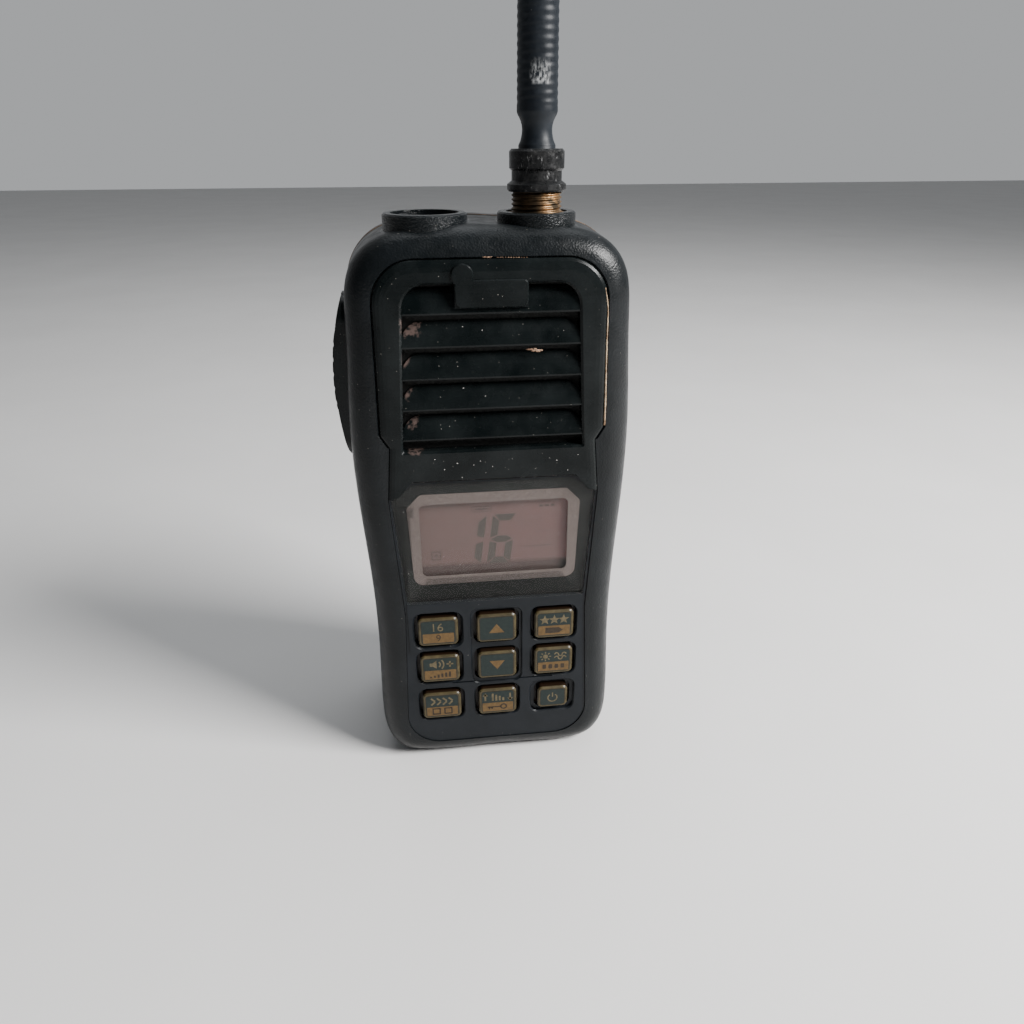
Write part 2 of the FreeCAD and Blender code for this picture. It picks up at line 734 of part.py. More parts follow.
def speaker_clamp():
    """A bar across the frame's shoulder, on two feet against the front wall."""
    bar = box(-26.0, 26.0, -15.3, -14.2, 118.5, 123.5)
    feet = [box(x - 1.5, x + 1.5, FRONT_WALL_BACK, -15.3, 118.5, 123.5) for x in (-24.4, 24.4)]
    return joined([bar] + feet).cut(rod_y(0, SPEAKER_HEIGHT, 16.8, -20, 0))


def microphone():
    return rod_y(MICROPHONE_X, MICROPHONE_HEIGHT, 2.8, -17.2, -14.8)


def microphone_boot():
    return ring_y(MICROPHONE_X, MICROPHONE_HEIGHT, 3.9, 2.8, PANEL_BACK + 0.3, -14.8)


# ---------------------------------------------------------------- push-to-talk

def ptt_bezel_corners(grow):
    width, height = PTT_BEZEL_SIZE
    return rect(PTT_Y, PTT_BEZEL_Z, width + 2 * grow, height + 2 * grow, 5.6 + grow)


def ptt_arch(crest):
    """A wide cylinder along Y that gives the bezel and the button their long arch."""
    centre = Vector(crest + PTT_ARCH_RADIUS, PTT_Y - 20, PTT_ARCH_Z)
    return Part.makeCylinder(PTT_ARCH_RADIUS, 40, centre, BACK)


def ptt_bezel():
    root_x = -32.0
    slope = Part.makeLoft(
        [wire_at_x(ptt_bezel_corners(-2.4), PTT_BEZEL_OUTER), wire_at_x(ptt_bezel_corners(0), root_x)],
        True,
        True,
    )
    slope = slope.common(ptt_arch(PTT_BEZEL_OUTER))
    body = joined([slope, prism_x(ptt_bezel_corners(0), root_x, -29.8)])
    width, height = PTT_PAD
    mouth = prism_x(rect(PTT_Y, PTT_Z, width + 1.2, height + 1.0, 3.6), PTT_BEZEL_OUTER - 1, -29)
    chamber = prism_x(rect(PTT_Y, PTT_Z, width + 2.6, height + 2.6, 3.6), -33.2, -29)
    return body.cut(mouth).cut(chamber)


def ptt_button():
    """A rubber-faced pad with a gentle arch and cross ridges, on a flange with a stem."""
    width, height = PTT_PAD
    pad = prism_x(rect(PTT_Y, PTT_Z, width, height, 3.0), PTT_OUTER - 1, -32.0)
    pad = pad.common(ptt_arch(PTT_OUTER))
    grooves = []
    groove_radius = 1.6
    groove_depth = 0.14
    for index in range(PTT_RIDGES):
        z = PTT_Z + (index - (PTT_RIDGES - 1) / 2) * PTT_RIDGE_PITCH
        fall = (z - PTT_ARCH_Z) ** 2 / (2 * PTT_ARCH_RADIUS)
        centre = PTT_OUTER + fall - groove_radius + groove_depth
        start = Vector(centre, PTT_Y - 10, z)
        grooves.append(Part.makeCylinder(groove_radius, 20, start, BACK))
    pad = without(pad, grooves)
    flange = prism_x(rect(PTT_Y, PTT_Z, width + 1.8, height + 1.8, 3.4), -32.8, -31.2)
    stem = rod_x(PTT_Y, PTT_Z, 1.6, -31.2, -28.6)
    return joined([pad, flange, stem])


def ptt_switch():
    return box(-27.2, -25.2, PTT_Y - 2.5, PTT_Y + 2.5, PTT_Z - 3.0, PTT_Z + 3.0)


# ---------------------------------------------------------------- top

def jack_body():
    """The accessory socket at the bottom of the left collar."""
    return ring_z(JACK_X, COLLAR_Y, JACK_BODY_RADIUS, JACK_HOLE_RADIUS, 130.0, JACK_FLOOR)


def antenna_socket():
    """The brass socket: flange, screw thread's outer shape, and a centre hole for the pin."""
    profile = [
        (1.0, 133.2),
        (4.5, 133.2),
        (4.5, 140.0),
        (6.4, 140.0),
        (6.4, 141.2),
        (THREAD_RADIUS, 141.2),
        (THREAD_RADIUS, 146.9),
        (3.9, 146.9),
        (3.9, 150.4),
        (1.0, 150.4),
    ]
    return turned_z(profile, ANTENNA_X, COLLAR_Y)


def antenna_washer():
    return ring_z(ANTENNA_X, COLLAR_Y, 6.4, 4.6, 139.6, 140.0)


def antenna_back_nut():
    across = 6.6
    corners = [Vector(ANTENNA_X + across * math.cos(math.radians(60 * k)),
                      COLLAR_Y + across * math.sin(math.radians(60 * k)), 133.8) for k in range(7)]
    nut = Part.Face(Part.makePolygon(corners)).extrude(UP * 2.2)
    return nut.cut(rod_z(ANTENNA_X, COLLAR_Y, 4.5, 133, 137))


def coupling_nut():
    """The nut that pulls the whip down on to the brass thread."""
    profile = [
        (THREAD_RADIUS + FIT, NUT_BOTTOM),
        (6.0, NUT_BOTTOM),
        (6.3, NUT_BOTTOM + 0.4),
        (6.3, NUT_BOTTOM + 1.4),
        (5.35, NUT_BOTTOM + 2.1),
        (5.35, NUT_BOTTOM + 4.0),
        (5.85, NUT_BOTTOM + 4.5),
        (5.85, NUT_TOP - 0.5),
        (5.4, NUT_TOP),
        (4.05, NUT_TOP),
        (4.05, NUT_TOP - 1.0),
        (4.3, NUT_TOP - 1.0),
        (4.3, 147.3),
        (THREAD_RADIUS + FIT, 147.3),
    ]
    return turned_z(profile, ANTENNA_X, COLLAR_Y)


def whip_sleeve():
    """The moulded whip: plug, narrow neck, and a long body that tapers to a round tip."""
    profile = [
        (0.6, 150.9),
        (4.15, 150.9),
        (4.15, 152.3),
        (3.9, 152.3),
        (3.9, 154.4),
        (3.3, 155.8),
        (3.15, 157.2),
        (3.5, 158.6),
        (4.25, 160.2),
        (3.7, ANTENNA_TIP - 4),
        (2.9, ANTENNA_TIP - 1.2),
        (1.4, ANTENNA_TIP),
        (0, ANTENNA_TIP),
        (0, ANTENNA_TIP - 6),
        (1.9, ANTENNA_TIP - 6),
        (2.4, 163.0),
        (0.6, 161.0),
    ]
    return turned_z(profile, ANTENNA_X, COLLAR_Y)


def whip_core():
    """The coil on its former inside the whip."""
    profile = [(0, 161.0), (0.6, 161.0), (2.4, 163.0), (1.9, ANTENNA_TIP - 6), (0, ANTENNA_TIP - 6)]
    return turned_z(profile, ANTENNA_X, COLLAR_Y)


def whip_pin():
    return rod_z(ANTENNA_X, COLLAR_Y, 0.6, 146.6, 161.0)


# ---------------------------------------------------------------- battery side

def contact_block():
    return box(-9.9, 9.9, COVER_INNER - 1, COVER_BACK - 0.3, TERMINAL_HEIGHT - 3.9, TERMINAL_HEIGHT + 3.9)


def contact_strips():
    low, high = TERMINAL_HEIGHT - 3, TERMINAL_HEIGHT + 3
    strips = [box(x - 1.2, x + 1.2, COVER_BACK - 0.3, COVER_BACK + 0.1, low, high)
              for x in TERMINALS_X]
    return Part.makeCompound(strips)


def battery_case():
    outer = rounded_body((PACK_FRONT, 0.2), (12.5, 0.5), (PACK_BACK, 8.0))
    pack_space = box(-60, 60, PACK_FRONT, 40, 0, PACK_TOP)
    outer = outer.common(pack_space)
    cavity = outline_prism(2.8, PACK_FRONT - 1, 18.9).common(box(-60, 60, 0, 40, 2.2, PACK_TOP - 2.4))
    latch_block = box(-12.0, 12.0, 15.6, 20.0, 2.0, 25.0)
    body = joined([outer.cut(cavity), latch_block])
    half = LATCH_HALF_WIDTH + 0.4
    tools = [
        box(-half, half, 17.5, 30, 8.0, 22.0),
        box(-half - 1.4, half + 1.4, 17.5, 19.4, 8.0, 22.0),
    ]
    for side in (-1, 1):
        tools.append(rod_y(side * CLIP_HOLE_SPACING / 2, CLIP_HOLE_HEIGHT, INSERT_RADIUS, 18, 30))
    for index in range(7):
        z = 36.0 + 4.5 * index
        tools.append(prism_y(rect(0, z, 34.0, 1.2, 0.5), PACK_BACK - 0.6, 30))
    return without(body, tools)


def battery_lid():
    space = box(-60, 60, 0, 40, 2.4, PACK_TOP - 2.6)
    lid = outline_prism(2.9, PACK_FRONT + 0.1, PACK_FRONT + 1.5).common(space)
    low, high = TERMINAL_HEIGHT - 3.4, TERMINAL_HEIGHT + 3.4
    slots = [box(x - 1.7, x + 1.7, 0, 20, low, high) for x in TERMINALS_X]
    return without(lid, slots)


def battery_terminals():
    low, high = TERMINAL_HEIGHT - 3.3, TERMINAL_HEIGHT + 3.3
    plates = [box(x - 1.6, x + 1.6, PACK_FRONT + 0.1, PACK_FRONT + 1.5, low, high)
              for x in TERMINALS_X]
    return Part.makeCompound(plates)


def protection_board():
    return box(-20.0, 20.0, PACK_FRONT + 1.6, PACK_FRONT + 2.8, 27.5, 36.5)


def battery_cells():
    """Two flat cells side by side."""
    inner = 0.8
    outer = 24.8
    left = prism_z_block(-outer, -inner, 8.3, 18.5, 39.0, 104.0)
    right = prism_z_block(inner, outer, 8.3, 18.5, 39.0, 104.0)
    return Part.makeCompound([left, right])


def prism_z_block(x0, x1, y0, y1, z0, z1):
    """A block with its four upright edges rounded."""
    radius = 2.5
    corners = rect((x0 + x1) / 2, (y0 + y1) / 2, x1 - x0, y1 - y0, radius)
    wire = rounded_wire(corners, lambda u, v: Vector(u, v, z0))
    return Part.Face(wire).extrude(UP * (z1 - z0))


def float_foam():
    return box(-23.0, 23.0, PACK_FRONT + 1.7, 15.4, 4.5, 26.5)


def clip_inserts():
    inserts = []
    for side in (-1, 1):
        x = side * CLIP_HOLE_SPACING / 2
        inserts.append(ring_y(x, CLIP_HOLE_HEIGHT, INSERT_RADIUS, CLIP_HOLE_RADIUS, 18.9, 21.3))
    return Part.makeCompound(inserts)


def battery_latch():
    """The sliding catch low on the back of the pack, with finger ridges and two side rails."""
    half = LATCH_HALF_WIDTH
    slider = box(-half, half, 17.9, 21.2, LATCH_BOTTOM, LATCH_TOP)
    rails = box(-half - 1.0, half + 1.0, 17.9, 19.0, LATCH_BOTTOM, LATCH_TOP)
    grooves = [box(-half + 1.5, half - 1.5, 20.6, 22, z, z + 0.8) for z in (12.6, 14.6, 16.6, 18.6)]
    return without(joined([slider, rails]), grooves)


# ---------------------------------------------------------------- writing

def nodes():
    pieces = {
        "front_case": front_case(),
        "case_seal": case_seal(),
        "rear_cover": rear_cover(),
        "case_screws": case_screws(),
        "grille_panel": grille_panel(),
        "name_tab": name_tab(),
        "fascia_panel": fascia_panel(),
        "display_window": display_window(),
        "window_mask": window_mask(),
        "window_border": window_border(),
        "lcd_glass": lcd_glass(),
        "light_guide": light_guide(),
        "lcd_holder": lcd_holder(),
        "keypad_mat": keypad_mat(),
        "snap_domes": snap_domes(),
        "main_board": main_board(),
        "logic_shield": logic_shield(),
        "chassis": chassis(),
        "rf_board": rf_board(),
        "rf_shield": rf_shield(),
        "board_screws": board_screws(),
        "speaker_cloth": speaker_cloth(),
        "speaker_seal": speaker_seal(),
        "speaker_frame": speaker_frame(),
        "speaker_magnet": speaker_magnet(),
        "speaker_cone": speaker_cone(),
        "speaker_clamp": speaker_clamp(),
        "microphone": microphone(),
        "microphone_boot": microphone_boot(),
        "ptt_bezel": ptt_bezel(),
        "ptt_button": ptt_button(),
        "ptt_switch": ptt_switch(),
        "jack_body": jack_body(),
        "antenna_socket": antenna_socket(),
        "antenna_washer": antenna_washer(),
        "antenna_back_nut": antenna_back_nut(),
        "coupling_nut": coupling_nut(),
        "whip_sleeve": whip_sleeve(),
        "whip_core": whip_core(),
        "whip_pin": whip_pin(),
        "contact_block": contact_block(),
        "contact_strips": contact_strips(),
        "battery_case": battery_case(),
        "battery_lid": battery_lid(),
        "battery_terminals": battery_terminals(),
        "protection_board": protection_board(),
        "battery_cells": battery_cells(),
        "float_foam": float_foam(),
        "clip_inserts": clip_inserts(),
        "battery_latch": battery_latch(),
    }
    for name, x, z in key_places():
        pieces[name] = key(name, x, z)
    return pieces


def write_all():
    os.makedirs("parts", exist_ok=True)
    for name, shape in nodes().items():
        shape.exportStep(os.path.join("parts", name + ".step"))
        solids = len(shape.Solids)
        print(name, "solids", solids, "valid", shape.isValid(), "volume", round(shape.Volume, 1))


write_all()
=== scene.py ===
import bpy
import json
import math
import random
from mathutils import Matrix, Vector


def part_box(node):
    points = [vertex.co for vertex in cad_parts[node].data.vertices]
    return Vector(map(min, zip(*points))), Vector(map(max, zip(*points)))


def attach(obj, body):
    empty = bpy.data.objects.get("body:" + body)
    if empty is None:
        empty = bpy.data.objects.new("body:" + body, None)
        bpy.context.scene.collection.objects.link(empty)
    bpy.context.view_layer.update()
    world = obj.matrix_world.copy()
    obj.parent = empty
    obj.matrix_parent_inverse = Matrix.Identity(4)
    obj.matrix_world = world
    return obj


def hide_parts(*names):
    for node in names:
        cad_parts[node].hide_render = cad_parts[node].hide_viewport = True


# A compact handheld two-way radio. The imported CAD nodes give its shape; this script adds
# the printed legends, the display's segments, the thread, the ridged whip and every material.
# Metres throughout, +X right, +Y back, +Z up. MM turns millimetres into metres.

MM = 0.001

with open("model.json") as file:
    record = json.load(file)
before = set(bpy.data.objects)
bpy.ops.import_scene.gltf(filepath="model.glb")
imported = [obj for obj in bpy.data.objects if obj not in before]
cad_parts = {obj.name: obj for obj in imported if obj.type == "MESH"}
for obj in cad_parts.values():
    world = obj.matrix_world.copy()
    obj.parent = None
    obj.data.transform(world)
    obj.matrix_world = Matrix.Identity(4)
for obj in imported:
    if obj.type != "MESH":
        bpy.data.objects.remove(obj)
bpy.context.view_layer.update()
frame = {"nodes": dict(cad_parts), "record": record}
NODES = frame["nodes"]
SLOT_OF = {row["node"]: row["material_slot"] for row in frame["record"]["subparts"]}

ANTENNA_AXIS = (11.1, -8.5)   # x and y in millimetres
WHIP_CENTRE = (ANTENNA_AXIS[0] * MM, ANTENNA_AXIS[1] * MM)
KEY_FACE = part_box("key_up")[0].y
DISPLAY_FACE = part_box("lcd_glass")[0].y


# ---------------------------------------------------------------- shader helpers

class Shade:
    """A material with one Principled shader and procedural inputs in millimetres."""

    def __init__(self, name, **sockets):
        self.material = bpy.data.materials.new(name)
        self.material.use_nodes = True
        self.tree = self.material.node_tree
        self.surface = self.tree.nodes["Principled BSDF"]
        where = self.tree.nodes.new("ShaderNodeTexCoord")
        self.place = self.tree.nodes.new("ShaderNodeMapping")
        self.place.inputs["Scale"].default_value = (1 / MM, 1 / MM, 1 / MM)
        self.join(where.outputs["Object"], self.place.inputs["Vector"])
        for socket, value in sockets.items():
            self.surface.inputs[socket.replace("_", " ")].default_value = value

    def join(self, source, target):
        self.tree.links.new(source, target)

    def feed(self, socket, source):
        self.join(source, self.surface.inputs[socket])

    def put(self, target, value):
        """Sets a node's socket to a number, a colour or another node's output."""
        if isinstance(value, bpy.types.NodeSocket):
            self.join(value, target)
        elif isinstance(value, tuple):
            target.default_value = (*value, 1.0)
        else:
            target.default_value = value

    def stretched(self, scale):
        """Coordinates in millimetres, multiplied by a different number along each axis."""
        node = self.tree.nodes.new("ShaderNodeMapping")
        node.inputs["Scale"].default_value = scale
        self.join(self.place.outputs["Vector"], node.inputs["Vector"])
        return node.outputs["Vector"]

    def noise(self, scale, detail=3.0, roughness=0.55, where=None):
        node = self.tree.nodes.new("ShaderNodeTexNoise")
        node.inputs["Scale"].default_value = scale
        node.inputs["Detail"].default_value = detail
        node.inputs["Roughness"].default_value = roughness
        self.join(where or self.place.outputs["Vector"], node.inputs["Vector"])
        return node.outputs["Fac"]

    def cells(self, scale, feature="F1", output="Distance", where=None):
        node = self.tree.nodes.new("ShaderNodeTexVoronoi")
        node.feature = feature
        node.inputs["Scale"].default_value = scale
        self.join(where or self.place.outputs["Vector"], node.inputs["Vector"])
        return node.outputs[output]

    def axis(self, name):
        node = self.tree.nodes.new("ShaderNodeSeparateXYZ")
        self.join(self.place.outputs["Vector"], node.inputs["Vector"])
        return node.outputs[name]

    def span(self, value, low, high, out_low=0.0, out_high=1.0):
        """Maps value from low..high on to out_low..out_high, clamped."""
        node = self.tree.nodes.new("ShaderNodeMapRange")
        node.inputs["From Min"].default_value = low
        node.inputs["From Max"].default_value = high
        node.inputs["To Min"].default_value = out_low
        node.inputs["To Max"].default_value = out_high
        self.join(value, node.inputs["Value"])
        return node.outputs["Result"]

    def outside(self, x, y, radius):
        """0 inside an upright cylinder and 1 beyond it, all in millimetres."""
        node = self.tree.nodes.new("ShaderNodeVectorMath")
        node.operation = "DISTANCE"
        flat = self.stretched((1.0, 1.0, 0.0))
        self.join(flat, node.inputs[0])
        node.inputs[1].default_value = (x, y, 0.0)
        return self.span(node.outputs["Value"], radius - 0.2, radius + 0.4)

    def oval(self, x, z, half_width, half_height):
        """1 in the middle of an oval seen from the front, fading to 0 at its edge, in millimetres."""
        node = self.tree.nodes.new("ShaderNodeVectorMath")
        node.operation = "DISTANCE"
        self.join(self.stretched((1 / half_width, 0.0, 1 / half_height)), node.inputs[0])
        node.inputs[1].default_value = (x / half_width, 0.0, z / half_height)
        return self.span(node.outputs["Value"], 1.0, 0.45)

    def maths(self, operation, first, second):
        node = self.tree.nodes.new("ShaderNodeMath")
        node.operation = operation
        self.put(node.inputs[0], first)
        self.put(node.inputs[1], second)
        return node.outputs["Value"]

    def blend(self, factor, first, second):
        node = self.tree.nodes.new("ShaderNodeMix")
        node.data_type = "RGBA"
        colours = [socket for socket in node.inputs if socket.type == "RGBA"]
        self.put(node.inputs["Factor"], factor)
        self.put(colours[0], first)
        self.put(colours[1], second)
        return next(socket for socket in node.outputs if socket.type == "RGBA")

    def bump(self, height, depth, normal=None):
        """A bump whose height of 1 stands depth millimetres proud."""
        node = self.tree.nodes.new("ShaderNodeBump")
        node.inputs["Distance"].default_value = depth * MM
        self.join(height, node.inputs["Height"])
        if normal is not None:
            self.join(normal, node.inputs["Normal"])
        self.feed("Normal", node.outputs["Normal"])
        return node.outputs["Normal"]

    def specks(self, spacing, radius, share):
        """Small flecks: one in a share of random cells, with spacing and radius in millimetres."""
        near = self.span(self.cells(1 / spacing), radius / spacing, radius / spacing * 0.5)
        node = self.tree.nodes.new("ShaderNodeSeparateColor")
        self.join(self.cells(1 / spacing, output="Color"), node.inputs["Color"])
        chosen = self.maths("LESS_THAN", node.outputs["Red"], share)
        return self.maths("MULTIPLY", near, chosen)

    def mud(self):
        """Ragged dried mud on the left ends of the louvres, from 0 for none to 0.8."""
        patches = 0.0
        for patch in MUD_PATCHES:
            patches = self.maths("MAXIMUM", self.oval(*patch), patches)
        ragged = self.span(self.noise(0.8, 8, 0.7), 0.35, 0.65, -0.8, 0.6)
        thick = self.maths("ADD", self.maths("MULTIPLY", patches, 1.15), ragged)
        mud = self.span(thick, 0.62, 1.2, 0.0, 0.8)
        mud = self.maths("MULTIPLY", mud, self.span(self.axis("Y"), *LOUVRE_FRONT))
        return self.maths("MULTIPLY", mud, self.span(self.axis("X"), *LOUVRE_LEFT))


# ---------------------------------------------------------------- materials

DUST = (0.50, 0.47, 0.42)
MUD = (0.080, 0.056, 0.049)
MUD_PATCHES = [                   # x, z and half sizes in millimetres
    (-17.6, 119.6, 3.9, 3.0), (-18.8, 112.8, 1.6, 2.6), (-18.8, 105.8, 1.5, 2.6),
    (-18.4, 98.8, 2.6, 2.7), (-18.0, 91.8, 2.8, 1.3),
]
LOUVRE_FRONT = (-16.0, -17.5)     # mud fades in between these depths, y in millimetres
LOUVRE_LEFT = (-19.7, -19.2)      # and to the right of the groove beside the louvres, x in millimetres
COLLARS = ((-13.0, -8.5, 9.4), (*ANTENNA_AXIS, 8.8))     # x, y and radius in millimetres
COLLAR_GLOSS = 0.5                # what the collars' roughness is multiplied by
COLLAR_GLITTER = 20.0             # and what their fine bump is multiplied by
WHIP_SCUFF = 167.3                # height of the scuff's middle, in millimetres
DISPLAY_STRIP = 60.3              # top of the dark strip low in the display, in millimetres


def moulded(name, base, worn, roughness, pebble=0.0, pebble_depth=0.0,
            speck_share=0.3, specular=0.2, polished=()):
    """Moulded black plastic: uneven tone and gloss, dust, dried mud, and pebble grain or scratches.

    pebble and pebble_depth are in millimetres. polished lists upright round collars, as
    (x, y, radius) in millimetres: glossier, and finely hammered instead of pebbled.
    """
    shade = Shade(name, Specular_IOR_Level=specular)
    tone = shade.span(shade.noise(0.11, 5), 0.36, 0.70)
    colour = shade.blend(tone, base, worn)
    fleck = shade.specks(1.1, 0.10, speck_share)
    dusty = shade.span(shade.noise(0.12, 3), 0.42, 0.62, 0.0, 0.6)
    colour = shade.blend(shade.maths("MULTIPLY", fleck, dusty), colour, DUST)
    shade.feed("Base Color", shade.blend(shade.mud(), colour, MUD))
    rough = shade.span(shade.noise(0.35, 6), 0.3, 0.7, roughness - 0.07, roughness + 0.09)
    for collar in polished:
        dull = shade.span(shade.outside(*collar), 0.0, 1.0, COLLAR_GLOSS, 1.0)
        rough = shade.maths("MULTIPLY", rough, dull)
    shade.feed("Roughness", rough)
    fine = shade.noise(2.6, 2)
    if pebble:
        grain = shade.cells(1 / pebble, "SMOOTH_F1")
        glitter = fine
        for collar in polished:
            beyond = shade.outside(*collar)
            grain = shade.maths("MULTIPLY", grain, beyond)
            glitter = shade.maths("MULTIPLY", glitter, shade.span(beyond, 0.0, 1.0, COLLAR_GLITTER, 1.0))
        normal = shade.bump(grain, pebble_depth)
        shade.bump(glitter, pebble_depth * 0.2, normal)
    else:
        scratches = shade.noise(0.5, 8, 0.7, shade.stretched((0.25, 1.0, 2.5)))
        normal = shade.bump(scratches, 0.02)
        shade.bump(fine, 0.006, normal)
    return shade.material


def case_plastic(name):
    return moulded(name, (0.0030, 0.0041, 0.0047), (0.0062, 0.0078, 0.0090), 0.34,
                   0.40, 0.055, 0.25, 0.22, COLLARS)


def panel_plastic(name):
    return moulded(name, (0.0020, 0.0032, 0.0034), (0.0075, 0.0095, 0.0098), 0.24,
                   speck_share=0.45, specular=0.15)


def fascia_plastic(name):
    return moulded(name, (0.0055, 0.0072, 0.0092), (0.009, 0.011, 0.014), 0.42, 0.25, 0.012, 0.12)


def black_rubber(name):
    return moulded(name, (0.005, 0.006, 0.006), (0.010, 0.011, 0.010), 0.50, 0.4, 0.015, 0.2)


def tan_seal(name):
    """A dried seal with brown dirt in it."""
    shade = Shade(name)
    tone = shade.span(shade.noise(0.35, 5), 0.35, 0.65)
    shade.feed("Base Color", shade.blend(tone, (0.09, 0.045, 0.022), (0.32, 0.19, 0.10)))
    shade.feed("Roughness", shade.span(shade.noise(1.2), 0.3, 0.7, 0.7, 0.95))
    shade.bump(shade.noise(2.0, 4), 0.05)
    return shade.material


def dried_dirt(name, dark, pale):
    """Dried dust and salt."""
    shade = Shade(name, Specular_IOR_Level=0.2)
    tone = shade.span(shade.noise(0.6, 5), 0.32, 0.62)
    shade.feed("Base Color", shade.blend(tone, dark, pale))
    shade.feed("Roughness", shade.span(shade.noise(2.0), 0.3, 0.7, 0.85, 1.0))
    shade.bump(shade.noise(3.0, 4), 0.08)
    return shade.material


def metal(name, base, worn, rough_low, rough_high, scale=0.5, depth=0.01):
    shade = Shade(name, Metallic=1.0)
    tone = shade.span(shade.noise(scale, 6), 0.35, 0.65)
    shade.feed("Base Color", shade.blend(tone, base, worn))
    shade.feed("Roughness", shade.span(shade.noise(scale * 2.3, 4), 0.3, 0.7, rough_low, rough_high))
    shade.bump(shade.noise(scale * 5, 3), depth)
    return shade.material


def tarnished_brass(name):
    """Brass thread: olive brown all round, with a painted highlight of bright copper-yellow on the right, the
    side the window light falls on.
    """
    shade = Shade(name, Metallic=1.0)
    middle = ANTENNA_AXIS[0]
    # Painted highlight: the brass turns paler and copper-yellow towards the right, where the light falls;
    # worn carries this painted light, broken into patches and streaks.
    paler = shade.span(shade.axis("X"), middle - 1.0, middle + 3.5, 0.12, 1.0)
    worn = shade.maths("MULTIPLY", paler, shade.span(shade.noise(0.45, 5), 0.38, 0.62))
    across = shade.noise(1.6, 4, 0.6, shade.stretched((1.0, 1.0, 4.0)))
    worn = shade.maths("MULTIPLY", worn, shade.span(across, 0.3, 0.6, 0.5, 1.0))
    shade.feed("Base Color", shade.blend(worn, (0.055, 0.042, 0.028), (0.62, 0.38, 0.19)))
    shade.feed("Roughness", shade.span(worn, 0.0, 1.0, 0.52, 0.26))
    shade.bump(shade.noise(4.0, 3), 0.015)
    return shade.material


def worn_nut(name):
    """Black coating with grey rubbed patches and small bright scratches."""
    shade = Shade(name, Metallic=0.15, Specular_IOR_Level=0.32)
    paler = shade.span(shade.noise(0.5, 8, 0.65), 0.50, 0.70)
    scratch = shade.span(shade.noise(0.9, 9, 0.8, shade.stretched((2.0, 2.0, 1.0))), 0.56, 0.64)
    scratch = shade.maths("MULTIPLY", scratch, shade.span(shade.noise(0.22, 2), 0.45, 0.60))
    colour = shade.blend(paler, (0.0045, 0.0048, 0.0052), (0.026, 0.026, 0.026))
    colour = shade.blend(scratch, colour, (0.26, 0.26, 0.26))
    shade.feed("Base Color", colour)
    shade.feed("Roughness", shade.span(shade.noise(1.1, 5), 0.3, 0.7, 0.22, 0.46))
    shade.bump(shade.noise(1.8, 6), 0.07)
    return shade.material


def whip_rubber(name):
    """Black sleeve with fine dust and a chalky scuff low on its front."""
    x, y = ANTENNA_AXIS
    shade = Shade(name, Specular_IOR_Level=0.17)
    tone = shade.span(shade.noise(0.2, 5), 0.35, 0.7)
    colour = shade.blend(tone, (0.007, 0.009, 0.012), (0.013, 0.016, 0.020))
    height = shade.axis("Z")
    low = shade.span(height, WHIP_SCUFF - 2.3, WHIP_SCUFF - 1.5)
    high = shade.span(height, WHIP_SCUFF + 2.6, WHIP_SCUFF - 0.6)
    left = shade.span(shade.axis("X"), x - 2.3, x - 1.2)
    right = shade.span(shade.axis("X"), x + 2.2, x + 1.2)
    front = shade.span(shade.axis("Y"), y - 1.4, y - 2.6)
    scuff = shade.span(shade.noise(0.9, 6, 0.6, shade.stretched((1.9, 1.0, 0.9))), 0.42, 0.66, 0.0, 0.75)
    for mask in (low, high, left, right, front):
        scuff = shade.maths("MULTIPLY", scuff, mask)
    dust = shade.specks(1.3, 0.10, 0.15)
    colour = shade.blend(dust, colour, DUST)
    shade.feed("Base Color", shade.blend(scuff, colour, (0.55, 0.56, 0.56)))
    shade.feed("Roughness", shade.span(shade.noise(0.8, 5), 0.3, 0.7, 0.36, 0.52))
    shade.bump(shade.noise(1.2, 5), 0.02)
    return shade.material


def amber_key(name):
    """Translucent amber key body: paler and dusty on the lit rim, with painted shade making it deep brown
    down the sides.
    """
    shade = Shade(name, Coat_Weight=0.10, Coat_Roughness=0.25, Specular_IOR_Level=0.25)
    # Painted shade: from a little behind the key's face, its sides are darkened to the deep brown mixed in
    # below.
    depth = shade.span(shade.axis("Y"), KEY_FACE / MM + 0.25, KEY_FACE / MM + 0.65)
    tone = shade.span(shade.noise(0.5, 5), 0.3, 0.7)
    rim = shade.blend(tone, (0.028, 0.022, 0.009), (0.066, 0.051, 0.022))
    shade.feed("Base Color", shade.blend(depth, rim, (0.012, 0.006, 0.003)))
    shade.feed("Roughness", shade.span(shade.noise(1.5, 4), 0.3, 0.7, 0.34, 0.50))
    shade.bump(shade.noise(3.0, 3), 0.01)
    return shade.material


def print_ink(name, base, worn, roughness=0.5):
    """Printed ink or smooth painted plastic, slightly uneven, with rubbed spots."""
    shade = Shade(name, Specular_IOR_Level=0.25)
    tone = shade.span(shade.noise(1.1, 6, 0.6), 0.35, 0.68)
    shade.feed("Base Color", shade.blend(tone, base, worn))
    shade.feed("Roughness", shade.span(shade.noise(2.0, 4), 0.3, 0.7, roughness - 0.08, roughness + 0.08))
    shade.bump(shade.noise(4.0, 3), 0.008)
    return shade.material


def display_rose(name):
    """The reflective display: rose-grey, warmer to the right, with a darker strip at the bottom."""
    shade = Shade(name, Specular_IOR_Level=0.3)
    across = shade.span(shade.axis("X"), -18.0, 18.0)
    cloudy = shade.maths("ADD", across, shade.span(shade.noise(0.12, 3), 0.3, 0.7, -0.25, 0.25))
    colour = shade.blend(cloudy, (0.094, 0.060, 0.054), (0.104, 0.060, 0.056))
    edge = shade.span(shade.axis("X"), 15.6, 17.9)
    colour = shade.blend(edge, colour, (0.14, 0.050, 0.050))
    strip = shade.span(shade.axis("Z"), DISPLAY_STRIP + 0.7, DISPLAY_STRIP - 0.6)
    shade.feed("Base Color", shade.blend(strip, colour, (0.050, 0.032, 0.029)))
    shade.feed("Roughness", shade.span(shade.noise(0.5), 0.3, 0.7, 0.42, 0.55))
    shade.bump(shade.noise(0.8, 3), 0.004)
    return shade.material


